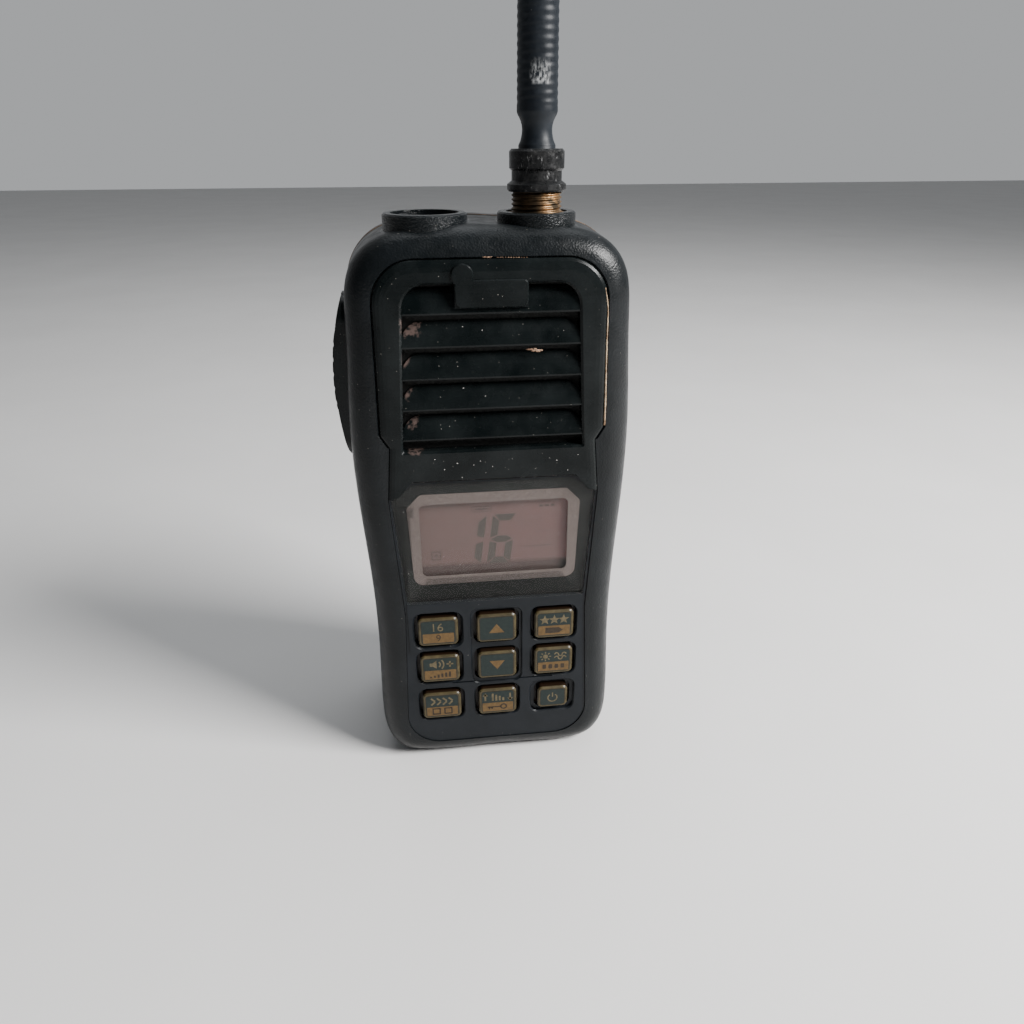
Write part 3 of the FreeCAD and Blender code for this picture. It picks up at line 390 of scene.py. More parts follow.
def clear_window(name):
    """The scratched clear lens over the display, with a little haze and dust."""
    shade = Shade(name, Specular_IOR_Level=0.5)
    haze = shade.noise(0.25, 6, 0.65)
    fleck = shade.specks(2.2, 0.11, 0.3)
    shade.feed("Base Color", shade.blend(fleck, (0.20, 0.20, 0.19), (0.75, 0.73, 0.70)))
    shade.feed("Roughness", shade.span(haze, 0.3, 0.7, 0.10, 0.22))
    thickness = shade.span(haze, 0.3, 0.7, 0.02, 0.06)
    shade.feed("Alpha", shade.maths("MAXIMUM", thickness, shade.maths("MULTIPLY", fleck, 0.85)))
    shade.bump(shade.noise(0.6, 8, 0.7, shade.stretched((0.3, 1.0, 2.0))), 0.006)
    return shade.material


def board_mask(name):
    shade = Shade(name, Coat_Weight=0.3)
    tracks = shade.span(shade.cells(0.45), 0.30, 0.34)
    shade.feed("Base Color", shade.blend(tracks, (0.02, 0.13, 0.06), (0.035, 0.19, 0.09)))
    shade.feed("Roughness", shade.span(shade.noise(1.0), 0.3, 0.7, 0.3, 0.5))
    shade.bump(tracks, 0.02)
    return shade.material


def woven(name, base, worn, pitch, depth):
    """Cloth, felt or foam: a fine cell or thread pattern."""
    shade = Shade(name, Specular_IOR_Level=0.2, Sheen_Weight=0.3)
    threads = shade.cells(1 / pitch, "SMOOTH_F1")
    shade.feed("Base Color", shade.blend(shade.span(threads, 0.1, 0.6), worn, base))
    shade.feed("Roughness", shade.span(shade.noise(1.0), 0.3, 0.7, 0.8, 0.98))
    shade.bump(threads, depth)
    return shade.material


FINISHES = {
    "case_black": case_plastic("case_plastic"),
    "cover_black": case_plastic("cover_plastic"),
    "panel_black": panel_plastic("panel_plastic"),
    "fascia_black": fascia_plastic("fascia_plastic"),
    "seal_tan": tan_seal("tan_seal"),
    "lens_clear": clear_window("clear_window"),
    "mask_dark": print_ink("mask_ink", (0.0055, 0.0065, 0.006), (0.008, 0.009, 0.0085)),
    "border_grey": print_ink("border_ink", (0.100, 0.080, 0.073), (0.128, 0.103, 0.094)),
    "lcd_rose": display_rose("display_rose"),
    "guide_white": print_ink("light_guide", (0.70, 0.70, 0.68), (0.80, 0.80, 0.78), 0.4),
    "holder_white": print_ink("holder_white", (0.62, 0.62, 0.60), (0.74, 0.74, 0.71), 0.4),
    "key_amber": amber_key("amber_key"),
    "rubber_black": black_rubber("black_rubber"),
    "board_green": board_mask("board_mask"),
    "tin": metal("tin_plate", (0.48, 0.48, 0.46), (0.66, 0.66, 0.64), 0.25, 0.42),
    "chassis_alloy": metal("cast_alloy", (0.45, 0.46, 0.47), (0.58, 0.59, 0.60), 0.40, 0.58, 0.8, 0.04),
    "screw_steel": metal("screw_steel", (0.40, 0.40, 0.41), (0.60, 0.60, 0.61), 0.25, 0.45, 1.2),
    "cloth_black": woven("grille_cloth", (0.004, 0.004, 0.004), (0.011, 0.012, 0.011), 0.35, 0.06),
    "foam_grey": woven("grey_foam", (0.10, 0.10, 0.11), (0.22, 0.22, 0.23), 0.5, 0.12),
    "magnet_dark": metal("magnet_dark", (0.06, 0.06, 0.065), (0.12, 0.12, 0.125), 0.5, 0.7, 0.8, 0.05),
    "basket_black": moulded("basket_plastic", (0.012, 0.012, 0.013), (0.022, 0.022, 0.022), 0.5),
    "cone_paper": woven("cone_paper", (0.04, 0.037, 0.034), (0.07, 0.065, 0.06), 0.4, 0.05),
    "brass": tarnished_brass("tarnished_brass"),
    "nut_black": worn_nut("worn_nut"),
    "whip_black": whip_rubber("whip_rubber"),
    "copper": metal("copper_wire", (0.55, 0.27, 0.14), (0.75, 0.42, 0.25), 0.25, 0.4),
    "gold": metal("gold_plate", (0.62, 0.44, 0.18), (0.80, 0.62, 0.30), 0.2, 0.35),
    "cell_blue": print_ink("cell_wrap", (0.03, 0.09, 0.24), (0.05, 0.13, 0.32), 0.35),
}
TEAL_INK = print_ink("teal_ink", (0.0070, 0.0130, 0.0120), (0.0110, 0.0185, 0.0165), 0.42)
AMBER_INK = print_ink("amber_ink", (0.078, 0.046, 0.016), (0.120, 0.070, 0.024), 0.42)
PALE_INK = print_ink("pale_ink", (0.070, 0.056, 0.030), (0.120, 0.094, 0.052), 0.45)
DARK_INK = print_ink("dark_ink", (0.018, 0.013, 0.008), (0.032, 0.022, 0.012), 0.45)
LINE_INK = print_ink("line_ink", (0.010, 0.007, 0.004), (0.018, 0.012, 0.006), 0.45)
SEGMENT_INK = print_ink("segment_ink", (0.050, 0.042, 0.037), (0.057, 0.048, 0.042), 0.5)
FAINT_INK = print_ink("faint_ink", (0.050, 0.036, 0.033), (0.058, 0.042, 0.039), 0.5)


def dress_cad_nodes():
    for name, node in NODES.items():
        for slot in node.material_slots:
            slot.material = FINISHES[SLOT_OF[name]]


# ---------------------------------------------------------------- mesh helpers

def piece(name, points, faces, material, body, smooth=False):
    mesh = bpy.data.meshes.new(name)
    mesh.from_pydata([tuple(p) for p in points], [], faces)
    mesh.validate()
    mesh.update()
    mesh.polygons.foreach_set("use_smooth", [smooth] * len(mesh.polygons))
    thing = bpy.data.objects.new(name, mesh)
    bpy.context.scene.collection.objects.link(thing)
    mesh.materials.append(material)
    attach(thing, body)
    return thing


def plates(name, outlines, front, thickness, material, body):
    """Thin flat plates facing the front. Each outline is a list of (x, z) in metres, anticlockwise."""
    points = []
    faces = []
    for outline in outlines:
        start = len(points)
        count = len(outline)
        points += [Vector((x, front, z)) for x, z in outline]
        points += [Vector((x, front + thickness, z)) for x, z in outline]
        faces.append(tuple(range(start, start + count)))
        faces.append(tuple(range(start + 2 * count - 1, start + count - 1, -1)))
        for index in range(count):
            following = (index + 1) % count
            faces.append((start + index, start + count + index, start + count + following, start + following))
    return piece(name, points, faces, material, body)


def tube_faces(rings, segments):
    """The faces of rings of points joined one to the next, with a cap at each end."""
    faces = []
    for ring in range(rings - 1):
        for index in range(segments):
            following = (index + 1) % segments
            low = ring * segments
            high = low + segments
            faces.append((low + index, low + following, high + following, high + index))
    faces.append(tuple(range(segments - 1, -1, -1)))
    last = (rings - 1) * segments
    faces.append(tuple(range(last, last + segments)))
    return faces


def lathe(name, profile, segments, material, body, centre, radius):
    """A closed surface turned round a vertical axis from (radius, z) pairs in metres.

    radius(r, z, angle) changes the radius from place to place.
    """
    points = []
    for r, z in profile:
        for index in range(segments):
            angle = 2 * math.pi * index / segments
            reach = radius(r, z, angle)
            points.append(Vector((centre[0] + reach * math.cos(angle),
                                  centre[1] + reach * math.sin(angle), z)))
    return piece(name, points, tube_faces(len(profile), segments), material, body, smooth=True)


def eased(share):
    share = min(1.0, max(0.0, share))
    return share * share * (3 - 2 * share)


# ---------------------------------------------------------------- outlines in millimetres

def rectangle(cx, cz, width, height, radius=0.0, steps=4):
    if not radius:
        u, v = width / 2, height / 2
        return [(cx - u, cz - v), (cx + u, cz - v), (cx + u, cz + v), (cx - u, cz + v)]
    outline = []
    for corner, (su, sv) in enumerate(((1, -1), (1, 1), (-1, 1), (-1, -1))):
        for index in range(steps + 1):
            angle = math.radians(-90 + 90 * corner + 90 * index / steps)
            u = cx + su * (width / 2 - radius) + radius * math.cos(angle)
            v = cz + sv * (height / 2 - radius) + radius * math.sin(angle)
            outline.append((u, v))
    return outline


def bar(x0, z0, x1, z1, width):
    """A straight stroke with square ends."""
    along = Vector((x1 - x0, z1 - z0)).normalized()
    side = Vector((-along.y, along.x)) * width / 2
    a, b = Vector((x0, z0)), Vector((x1, z1))
    return [tuple(a - side), tuple(b - side), tuple(b + side), tuple(a + side)]


def disc(cx, cz, radius, steps=20):
    angles = [2 * math.pi * index / steps for index in range(steps)]
    return [(cx + radius * math.cos(a), cz + radius * math.sin(a)) for a in angles]


def arc(cx, cz, radius, width, start, end, steps=16):
    """A curved stroke from one angle to another, in degrees, anticlockwise."""
    outer = []
    inner = []
    for index in range(steps + 1):
        angle = math.radians(start + (end - start) * index / steps)
        for side, reach in ((outer, radius + width / 2), (inner, radius - width / 2)):
            side.append((cx + reach * math.cos(angle), cz + reach * math.sin(angle)))
    return outer + inner[::-1]


def frame_bars(left, bottom, right, top, width, inset):
    """Four strokes round a rectangle. The upright ones stand in from its ends by inset."""
    return [bar(left, bottom, right, bottom, width), bar(left, top, right, top, width),
            bar(left + inset, bottom, left + inset, top, width),
            bar(right - inset, bottom, right - inset, top, width)]


def star(cx, cz, radius):
    outline = []
    for index in range(10):
        reach = radius if index % 2 == 0 else radius * 0.42
        angle = math.radians(90 + 36 * index)
        outline.append((cx + reach * math.cos(angle), cz + reach * math.sin(angle)))
    return outline


def triangle(cx, cz, width, height):
    """Points up for a positive height and down for a negative one."""
    outline = [(cx - width / 2, cz - height / 2), (cx + width / 2, cz - height / 2), (cx, cz + height / 2)]
    return outline if height > 0 else outline[::-1]


# ---------------------------------------------------------------- key legends

STROKE = 0.42


def sign_loudspeaker():
    horn = [(-2.4, -0.45), (-1.7, -0.45), (-0.8, -1.15), (-0.8, 1.15), (-1.7, 0.45), (-2.4, 0.45)]
    waves = [arc(-0.9, 0, 0.95, 0.34, -48, 48), arc(-0.9, 0, 1.75, 0.34, -44, 44)]
    return [horn, *waves, bar(1.5, 0, 3.1, 0, 0.4), bar(2.3, -0.8, 2.3, 0.8, 0.4)]


def sign_level():
    return [bar(-2.4 + 0.95 * k, -0.9, -2.4 + 0.95 * k, -0.45 + 0.25 * k, 0.5) for k in range(6)]


def sign_sweep():
    shapes = []
    for x in (-2.6, -1.2, 0.2, 1.6):
        shapes += [bar(x, 1.0, x + 0.9, 0.08, STROKE), bar(x, -1.0, x + 0.9, -0.08, STROKE)]
    return shapes


def sign_pair():
    shapes = []
    for x in (-1.5, 1.5):
        shapes += [bar(x - 0.9, -0.85, x + 0.9, -0.85, 0.36), bar(x - 0.9, 0.85, x + 0.9, 0.85, 0.36)]
        shapes += [bar(x - 0.9, -1.0, x - 0.9, 1.0, 0.36), bar(x + 0.9, -1.0, x + 0.9, 1.0, 0.36)]
    return shapes


def sign_star():
    return [star(-2.2, -0.05, 1.35), star(0.0, -0.05, 1.35), star(2.2, -0.05, 1.35)]


def sign_tag():
    return [[(-2.2, -0.8), (1.2, -0.8), (2.2, 0.0), (1.2, 0.8), (-2.2, 0.8)]]


def sign_weather():
    """A small sun beside two waves."""
    shapes = [disc(-1.9, 0, 0.6)]
    for index in range(8):
        angle = math.radians(45 * index)
        c, s = math.cos(angle), math.sin(angle)
        shapes.append(bar(-1.9 + 0.85 * c, 0.85 * s, -1.9 + 1.35 * c, 1.35 * s, 0.28))
    for z in (-0.55, 0.45):
        for index in range(3):
            start = 0 if index % 2 == 0 else 180
            shapes.append(arc(0.75 + index * 0.9, z, 0.45, 0.3, start, start + 180, 8))
    return shapes


def sign_groups():
    return [rectangle(-2.3 + 1.55 * k, 0, 0.95, 1.3, 0.2) for k in range(4)]


def sign_high_low():
    low = [bar(-3.0, -1.0, -3.0, 1.0, STROKE), triangle(-3.0, 0.9, 1.3, 0.9)]
    bars = [bar(-1.2 + 0.85 * k, -1.1, -1.2 + 0.85 * k, 1.1 - 0.42 * k, 0.48) for k in range(4)]
    return low + bars + [bar(3.0, -1.0, 3.0, 1.0, STROKE), triangle(3.0, -0.9, 1.3, -0.9)]


def sign_lock_key():
    teeth = [bar(-2.2, 0.0, -2.2, -0.75, 0.36), bar(-1.5, 0.0, -1.5, -0.6, 0.36)]
    return [arc(1.5, 0, 0.72, 0.38, 0, 360, 24), bar(-2.6, 0.0, 0.8, 0.0, 0.36)] + teeth


def sign_power():
    return [arc(0, -0.2, 1.25, 0.34, -235, 55, 28), bar(0, 0.1, 0, 1.55, 0.34)]


KEY_SIGNS = {
    "key_volume": (sign_loudspeaker, sign_level),
    "key_scan": (sign_sweep, sign_pair),
    "key_favourite": (sign_star, sign_tag),
    "key_channel_mode": (sign_weather, sign_groups),
    "key_power_level": (sign_high_low, sign_lock_key),
}
KEY_MARGIN = 0.85             # from the cap's edge to the printed field
LINE_WIDTH = 0.14             # the dark line round the printed field
FIELD_SPLIT = -0.35           # top of the amber field, from the key's middle
FIELD_PROUD = 0.02 * MM       # from one printed layer to the next
NUMERAL_THICKNESS = 0.02 * MM
KEY_FLANGE = 1.2              # how far the hidden flange reaches beyond the cap, in millimetres


def placed(outlines, cx, cz, scale=1.0):
    return [[((cx + x * scale) * MM, (cz + z * scale) * MM) for x, z in outline] for outline in outlines]


def numeral(name, text, cx, cz, height, material, body, slot, front):
    """A plain numeral as a thin mesh, centred on (cx, cz) in millimetres."""
    curve = bpy.data.curves.new(name + "_curve", "FONT")
    curve.body = text
    curve.align_x = "CENTER"
    curve.align_y = "CENTER"
    curve.extrude = NUMERAL_THICKNESS / 2
    curve.resolution_u = 6
    made = bpy.data.objects.new(name + "_curve", curve)
    bpy.context.scene.collection.objects.link(made)
    bpy.context.view_layer.update()
    mesh = bpy.data.meshes.new_from_object(made)
    bpy.data.objects.remove(made)
    heights = [v.co.y for v in mesh.vertices]
    widths = [v.co.x for v in mesh.vertices]
    scale = height * MM / (max(heights) - min(heights))
    middle = Vector(((max(widths) + min(widths)) / 2, (max(heights) + min(heights)) / 2, 0))
    for vertex in mesh.vertices:
        flat = (vertex.co - middle) * scale
        vertex.co = Vector((cx * MM + flat.x, front + NUMERAL_THICKNESS / 2 - vertex.co.z, cz * MM + flat.y))
    mesh.name = name
    mesh.materials.clear()
    mesh.materials.append(material)
    thing = bpy.data.objects.new(name, mesh)
    bpy.context.scene.collection.objects.link(thing)
    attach(thing, body)
    return thing


def key_legends():
    """Each key's printed fields: teal all over, amber on the lower half, and a sign on each."""
    faces = [KEY_FACE - FIELD_PROUD * (layer + 1) for layer in range(4)]
    thickness = FIELD_PROUD * 1.6
    for name in [node for node in NODES if node.startswith("key_")]:
        low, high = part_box(name)
        cx = (low.x + high.x) / 2 / MM
        cz = (low.z + high.z) / 2 / MM
        width = (high.x - low.x) / MM - 2 * (KEY_FLANGE + KEY_MARGIN)
        height = (high.z - low.z) / MM - 2 * (KEY_FLANGE + KEY_MARGIN)

        def printed(part, outlines, layer, ink, at=(0.0, 0.0), scale=1.0):
            plates(f"{name}_{part}", placed(outlines, *at, scale), faces[layer], thickness,
                   ink, name)

        line = 2 * LINE_WIDTH
        printed("line", [rectangle(cx, cz, width + line, height + line, 0.7)], 0, LINE_INK)
        printed("field", [rectangle(cx, cz, width, height, 0.6)], 1, TEAL_INK)
        if name == "key_power":
            printed("sign", sign_power(), 2, PALE_INK, (cx, cz))
            continue
        if name in ("key_up", "key_down"):
            rise = 2.7 if name == "key_up" else -2.7
            printed("sign", [triangle(0, 0, 4.0, rise)], 2, AMBER_INK, (cx, cz))
            continue
        top = cz + FIELD_SPLIT
        bottom = cz - height / 2 + 0.15
        amber_width = width - 0.5 if name == "key_channel_16" else width - 0.2
        printed("amber", [rectangle(cx, (top + bottom) / 2, amber_width, top - bottom, 0.2)], 2, AMBER_INK)
        upper = (cx, (top + cz + height / 2) / 2)
        lower = (cx, (top + bottom) / 2)
        if name == "key_channel_16":
            numeral(name + "_numeral_16", "16", *upper, 2.4, PALE_INK, name, "key_amber", faces[2])
            numeral(name + "_numeral_9", "9", *lower, 2.0, DARK_INK, name, "key_amber", faces[3])
            continue
        upper_sign, lower_sign = KEY_SIGNS[name]
        printed("sign_upper", upper_sign(), 2, PALE_INK, upper, 1.12)
        printed("sign_lower", lower_sign(), 3, DARK_INK, lower, 1.05)


# ---------------------------------------------------------------- display

SEGMENT_LEAN = 0.13           # how far a digit leans to the right for each millimetre of height
SEGMENT_GAP = 0.22
SEGMENT_WIDTH = 1.8
DIGIT_HEIGHT = 13.6
DIGIT_WIDTH = 5.8
DIGIT_MIDDLE = 66.8
MARK_PROUD = 0.03 * MM        # how far the marks stand in front of the display
MARK_THICKNESS = 0.06 * MM


def leaning(points, cx, cz):
    return [(cx + x + SEGMENT_LEAN * z, cz + z) for x, z in points]


def segment_outline(name):
    """One pointed bar of a seven-segment digit, about the digit's centre."""
    w = DIGIT_WIDTH / 2
    h = DIGIT_HEIGHT / 2
    t = SEGMENT_WIDTH
    gap = SEGMENT_GAP
    if name == "top":
        return [(-w + gap + t * 0.9, h - t), (w - gap - t * 0.6, h - t), (w - gap, h), (-w + gap + 0.2, h)]
    if name == "bottom":
        return [(-w + gap + 0.2, -h), (w - gap - 0.2, -h),
                (w - gap - t * 0.9, -h + t), (-w + gap + t * 0.9, -h + t)]
    if name == "middle":
        return [(-w + gap, 0), (-w + t, -t / 2), (w - t, -t / 2),
                (w - gap, 0), (w - t, t / 2), (-w + t, t / 2)]
    side = -1 if "left" in name else 1
    outer = side * w
    inner = side * (w - t)
    if "upper" in name:
        outline = [(outer, gap + 0.3), (outer, h - 0.3), (inner, h - t - 0.1), (inner, gap + 0.9)]
    else:
        outline = [(outer, -h + 0.3), (outer, -gap - 0.3), (inner, -gap - 0.9), (inner, -h + t + 0.1)]
    return outline if side > 0 else outline[::-1]


def display_marks():
    """The segments of the channel number 16, and the faint small marks round it."""
    face = DISPLAY_FACE - MARK_PROUD
    digits = [leaning(segment_outline(name), -5.5, DIGIT_MIDDLE) for name in ("upper_right", "lower_right")]
    six_parts = ("top", "upper_left", "middle", "lower_left", "lower_right", "bottom")
    digits += [leaning(segment_outline(name), 1.8, DIGIT_MIDDLE) for name in six_parts]
    battery = frame_bars(-15.6, 61.9, -13.3, 64.1, 0.26, 0.1)
    battery += [bar(-15.0, 63.0, -13.9, 63.0, 0.26), bar(-14.45, 62.5, -14.45, 63.5, 0.26)]
    label = frame_bars(-5.5, 74.55, -0.6, 75.85, 0.18, 0.1) + [rectangle(-3.05, 75.2, 3.2, 0.45)]
    corner = [rectangle(11.6 + 1.4 * k, 75.3, 1.0, 0.6) for k in range(3)]
    rule = [bar(7.4, 64.2, 14.2, 64.4, 0.16), bar(10.0, 68.2, 14.6, 68.4, 0.10)]
    icons = battery + label + corner + rule
    for name, outlines, ink in (("segments", digits, SEGMENT_INK), ("icons", icons, FAINT_INK)):
        plates("display_" + name, placed(outlines, 0, 0), face, MARK_THICKNESS, ink, "radio")


# ---------------------------------------------------------------- antenna

COIL_PITCH = 1.56 * MM
COIL_START = 161.0 * MM
COIL_END = 286.5 * MM
COIL_RISE = 0.10 * MM
NECK_TOP = 160.6 * MM         # where the smooth neck ends and the taper starts
WHIP_STEP = 0.2 * MM          # between the rings of points that carry the ridges
CROWN_HEIGHT = 4.0 * MM
CROWN_RINGS = 10


def whip():
    """The sleeve moulded over a coil: smooth neck, then fine helical ridges up to the tip."""
    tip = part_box("whip_sleeve")[1].z
    neck = [(0.62, 150.9), (4.05, 150.9), (4.15, 151.05), (4.15, 152.15), (4.05, 152.3), (3.9, 152.35),
            (3.9, 154.2), (3.8, 154.45), (3.52, 155.0), (3.32, 155.7), (3.18, 156.5), (3.14, 157.3),
            (3.22, 158.0), (3.42, 158.7), (3.75, 159.4), (4.05, 159.9), (4.22, 160.4)]
    profile = [(r * MM, z * MM) for r, z in neck]
    z = NECK_TOP
    while z < tip - CROWN_HEIGHT - 0.2 * MM:
        share = (z - NECK_TOP) / (tip - NECK_TOP - CROWN_HEIGHT)
        profile.append(((4.24 - 0.56 * share) * MM, z))
        z += WHIP_STEP
    for index in range(CROWN_RINGS):
        angle = math.pi / 2 * index / CROWN_RINGS
        height = tip - CROWN_HEIGHT + CROWN_HEIGHT * math.sin(angle)
        profile.append(((0.9 + 2.76 * math.cos(angle)) * MM, height))
    profile.append((0.4 * MM, tip))

    def ridged(r, z, angle):
        inside = eased((z - COIL_START) / (1.2 * MM)) * eased((COIL_END - z) / (1.5 * MM))
        turn = 2 * math.pi * z / COIL_PITCH - angle
        return r - inside * COIL_RISE * (0.5 - 0.5 * math.cos(turn))

    made = lathe("whip_ridged", profile, 44, FINISHES["whip_black"], "antenna_whip",
                 WHIP_CENTRE, ridged)
    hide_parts("whip_sleeve")


THREAD_PITCH = 0.907 * MM
THREAD_BOTTOM = 141.3 * MM
THREAD_TOP = 146.8 * MM
THREAD_DEPTH = 0.42 * MM
THREAD_RADIUS = 5.45          # in millimetres
THREAD_STEP = 0.07 * MM       # between the rings of points that carry the thread


def socket_thread():
    """The brass socket with its real helical thread."""
    foot = [(1.0, 133.2), (4.5, 133.2), (4.5, 140.0), (6.3, 140.0), (6.4, 140.1), (6.4, 141.05),
            (6.3, 141.2), (THREAD_RADIUS, 141.2)]
    spigot = [(THREAD_RADIUS - 0.25, 146.9), (3.9, 146.9), (3.9, 150.3), (3.8, 150.4), (1.0, 150.4)]
    profile = [(r * MM, z * MM) for r, z in foot]
    z = 141.25 * MM
    while z < 146.85 * MM:
        profile.append((THREAD_RADIUS * MM, z))
        z += THREAD_STEP
    profile += [(r * MM, z * MM) for r, z in spigot]

    def cut(r, z, angle):
        if abs(r - THREAD_RADIUS * MM) > 0.05 * MM:
            return r
        inside = eased((z - THREAD_BOTTOM) / (0.4 * MM)) * eased((THREAD_TOP - z) / (0.4 * MM))
        turn = (z / THREAD_PITCH - angle / (2 * math.pi)) % 1.0
        valley = 1 - abs(2 * turn - 1)
        return r - inside * THREAD_DEPTH * min(1.0, 1.25 * valley)

    made = lathe("antenna_socket_threaded", profile, 72, FINISHES["brass"], "radio",
                 WHIP_CENTRE, cut)
    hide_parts("antenna_socket")


# ---------------------------------------------------------------- dirt

def groove_deposit():
    """Dried dust packed in the groove on the right of the grille, as an uneven thread."""
    draw = random.Random(7)
    low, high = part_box("grille_panel")
    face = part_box("fascia_panel")[0].y
    x = high.x + 0.13 * MM
    top = 127.0 * MM
    bottom = 96.2 * MM
    steps = 150
    path = []
    for index in range(steps + 1):
        share = index / steps
        z = bottom + (top - bottom) * share
        lean = -0.45 * MM * eased((z - 96 * MM) / (24 * MM))
        bend = -1.1 * MM * eased((z - 121.5 * MM) / (8 * MM))
        thick = (0.10 + 0.10 * (1 - share) + 0.05 * draw.random()) * MM
        path.append((x + lean + bend + 0.03 * MM * (draw.random() - 0.5), z, thick))
    points = []
    sides = 6
    for px, pz, thick in path:
        for index in range(sides):
            angle = 2 * math.pi * index / sides
            points.append(Vector((px + thick * math.cos(angle),
                                  face - 0.12 * MM + thick * 1.3 * math.sin(angle), pz)))
    dust = dried_dirt("groove_dust", (0.16, 0.09, 0.05), (0.50, 0.38, 0.26))
    piece("groove_dust", points, tube_faces(len(path), sides), dust, "radio", smooth=True)


def crumb(points, faces, centre, reach, draw, flat):
    """Adds an uneven lump, squashed along Y by flat, to a list of points and faces."""
    start = len(points)
    rings = 4
    around = 7
    for ring in range(1, rings):
        tilt = math.pi * ring / rings
        for index in range(around):
            angle = 2 * math.pi * index / around
            swell = 0.7 + 0.6 * draw.random()
            points.append(Vector((centre[0] + reach[0] * swell * math.sin(tilt) * math.cos(angle),
                                  centre[1] + flat * math.cos(tilt),
                                  centre[2] + reach[1] * swell * math.sin(tilt) * math.sin(angle))))
    low = len(points)
    points += [Vector((centre[0], centre[1] + side * flat, centre[2])) for side in (1, -1)]
    for index in range(around):
        following = (index + 1) % around
        faces.append((low, start + index, start + following))
        for ring in range(rings - 2):
            a = start + ring * around
            b = a + around
            faces.append((a + index, b + index, b + following, a + following))
        last = start + (rings - 2) * around
        faces.append((last + index, low + 1, last + following))


def grille_crumbs():
    """White salt crumbs under the louvres, and tan flakes on a louvre's lip and in the top groove."""
    draw = random.Random(23)
    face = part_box("grille_panel")[0].y
    louvre = face + 0.4 * MM
    groove = face + 0.75 * MM
    spots = [(-8.5, 88.6), (-4.7, 88.0), (-3.2, 88.9), (-0.4, 87.4), (-2.0, 85.9), (4.2, 89.1),
             (12.9, 88.9), (-11.5, 87.2), (-7.5, 85.0), (9.6, 86.4), (14.6, 88.2), (19.6, 89.4),
             (-13.6, 89.8), (17.3, 85.6)]
    deep_spots = [(-2.1, 118.7), (-6.5, 106.1), (-1.7, 104.1), (-6.3, 119.6)]
    salt = [(x, face, z, 0.05 + 0.09 * draw.random(), 0.05 + 0.07 * draw.random()) for x, z in spots]
    salt += [(x, face + 0.7 * MM, z, 0.12, 0.08) for x, z in deep_spots]
    flakes = [(8.1, louvre, 114.35, 0.75, 0.2), (8.9, louvre, 114.05, 0.6, 0.3),
              (9.9, louvre, 114.05, 0.75, 0.3), (10.6, louvre, 114.1, 0.45, 0.22),
              (9.3, louvre, 114.4, 0.4, 0.16), (-1.3, groove, 133.72, 0.55, 0.2),
              (-0.6, groove, 133.66, 0.6, 0.28), (0.0, groove, 133.7, 0.35, 0.18)]
    flakes += [(1.4 + 0.55 * k, groove, 133.55 - 0.012 * k, 0.12 + 0.22 * draw.random(), 0.06)
               for k in range(12)]
    white = dried_dirt("salt", (0.34, 0.32, 0.30), (0.66, 0.63, 0.60))
    tan = dried_dirt("tan_flake", (0.10, 0.055, 0.035), (0.34, 0.22, 0.15))
    for name, lumps, dirt in (("salt_crumbs", salt, white), ("tan_flakes", flakes, tan)):
        points = []
        faces = []
        for x, y, z, wide, tall in lumps:
            crumb(points, faces, (x * MM, y, z * MM), (wide * MM, tall * MM), draw, 0.10 * MM)
        piece(name, points, faces, dirt, "radio", smooth=True)


# ---------------------------------------------------------------- stage

CAMERA_PLACE = (-14.505, -182.928, 155.027)   # in millimetres
CAMERA_TURN = (-0.114393, 0.454545, -0.004166)     # yaw, pitch down and roll, in radians
FLOOR_HALF = 3.0
LIT_MIDDLE = (0.0, 0.0, 0.09)                 # where both lights point
DARK_SIDE = (0.06, 0.066, 0.072, 1.0)         # the studio in front of the radio
PALE_SIDE = (0.42, 0.43, 0.44, 1.0)           # and behind it


def make_camera():
    yaw, pitch, roll = CAMERA_TURN
    forward = Vector((-math.sin(yaw) * math.cos(pitch), math.cos(yaw) * math.cos(pitch), -math.sin(pitch)))
    level = Vector((math.cos(yaw), math.sin(yaw), 0))
    rise = level.cross(forward)
    right = level * math.cos(roll) + rise * math.sin(roll)
    up = rise * math.cos(roll) - level * math.sin(roll)
    data = bpy.data.cameras.new("camera")
    data.sensor_width = 36.0
    data.lens = 26.69
    data.clip_start = 0.005
    camera = bpy.data.objects.new("camera", data)
    turn = Matrix((right, up, -forward)).transposed().to_4x4()
    camera.matrix_world = Matrix.Translation(Vector(CAMERA_PLACE) * MM) @ turn
    bpy.context.scene.collection.objects.link(camera)
    bpy.context.scene.camera = camera


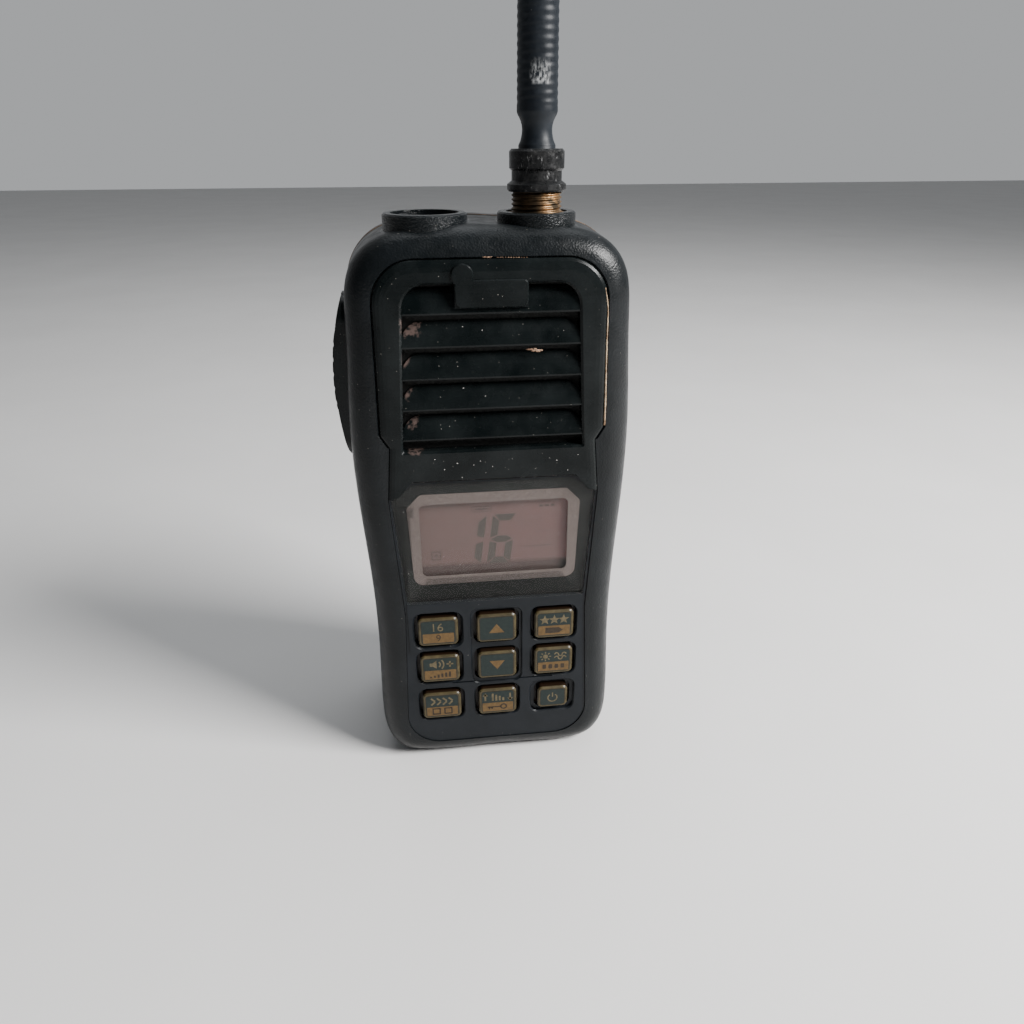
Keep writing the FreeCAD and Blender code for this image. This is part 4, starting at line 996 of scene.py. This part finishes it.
def make_floor():
    corners = [(u * FLOOR_HALF, v * FLOOR_HALF, 0) for u, v in ((-1, -1), (1, -1), (1, 1), (-1, 1))]
    mesh = bpy.data.meshes.new("floor")
    mesh.from_pydata(corners, [], [(0, 1, 2, 3)])
    floor = bpy.data.objects.new("floor", mesh)
    bpy.context.scene.collection.objects.link(floor)
    shade = Shade("floor_pale", Specular_IOR_Level=0.25)
    tone = shade.span(shade.noise(0.01, 3), 0.3, 0.7)
    shade.feed("Base Color", shade.blend(tone, (0.70, 0.69, 0.68), (0.74, 0.73, 0.72)))
    shade.feed("Roughness", shade.span(shade.noise(0.05), 0.3, 0.7, 0.55, 0.65))
    mesh.materials.append(shade.material)


def area_light(name, place, target, size, power, colour):
    data = bpy.data.lights.new(name, "AREA")
    data.shape = "SQUARE"
    data.size = size
    data.energy = power
    data.color = colour
    light = bpy.data.objects.new(name, data)
    light.location = place
    light.rotation_mode = "QUATERNION"
    light.rotation_quaternion = (Vector(place) - Vector(target)).to_track_quat("Z", "Y")
    bpy.context.scene.collection.objects.link(light)


def make_lights():
    area_light("window", (0.55, -0.30, 0.50), LIT_MIDDLE, 0.30, 17.0, (1.0, 0.99, 0.98))
    area_light("ceiling", (0.10, 0.25, 1.10), LIT_MIDDLE, 0.8, 4.5, (0.94, 0.97, 1.0))
    world = bpy.data.worlds.new("studio")
    world.use_nodes = True
    tree = world.node_tree
    where = tree.nodes.new("ShaderNodeTexCoord")
    split = tree.nodes.new("ShaderNodeSeparateXYZ")
    tree.links.new(where.outputs["Generated"], split.inputs["Vector"])
    behind = tree.nodes.new("ShaderNodeMapRange")
    behind.inputs["From Min"].default_value = -0.25
    behind.inputs["From Max"].default_value = 0.6
    tree.links.new(split.outputs["Y"], behind.inputs["Value"])
    colour = tree.nodes.new("ShaderNodeMix")
    colour.data_type = "RGBA"
    ends = [socket for socket in colour.inputs if socket.type == "RGBA"]
    ends[0].default_value = DARK_SIDE
    ends[1].default_value = PALE_SIDE
    mixed = next(socket for socket in colour.outputs if socket.type == "RGBA")
    tree.links.new(behind.outputs["Result"], colour.inputs["Factor"])
    tree.links.new(mixed, tree.nodes["Background"].inputs["Color"])
    bpy.context.scene.world = world


# ---------------------------------------------------------------- making

make_camera()
make_floor()
make_lights()
dress_cad_nodes()
key_legends()
display_marks()
whip()
socket_thread()
groove_deposit()
grille_crumbs()
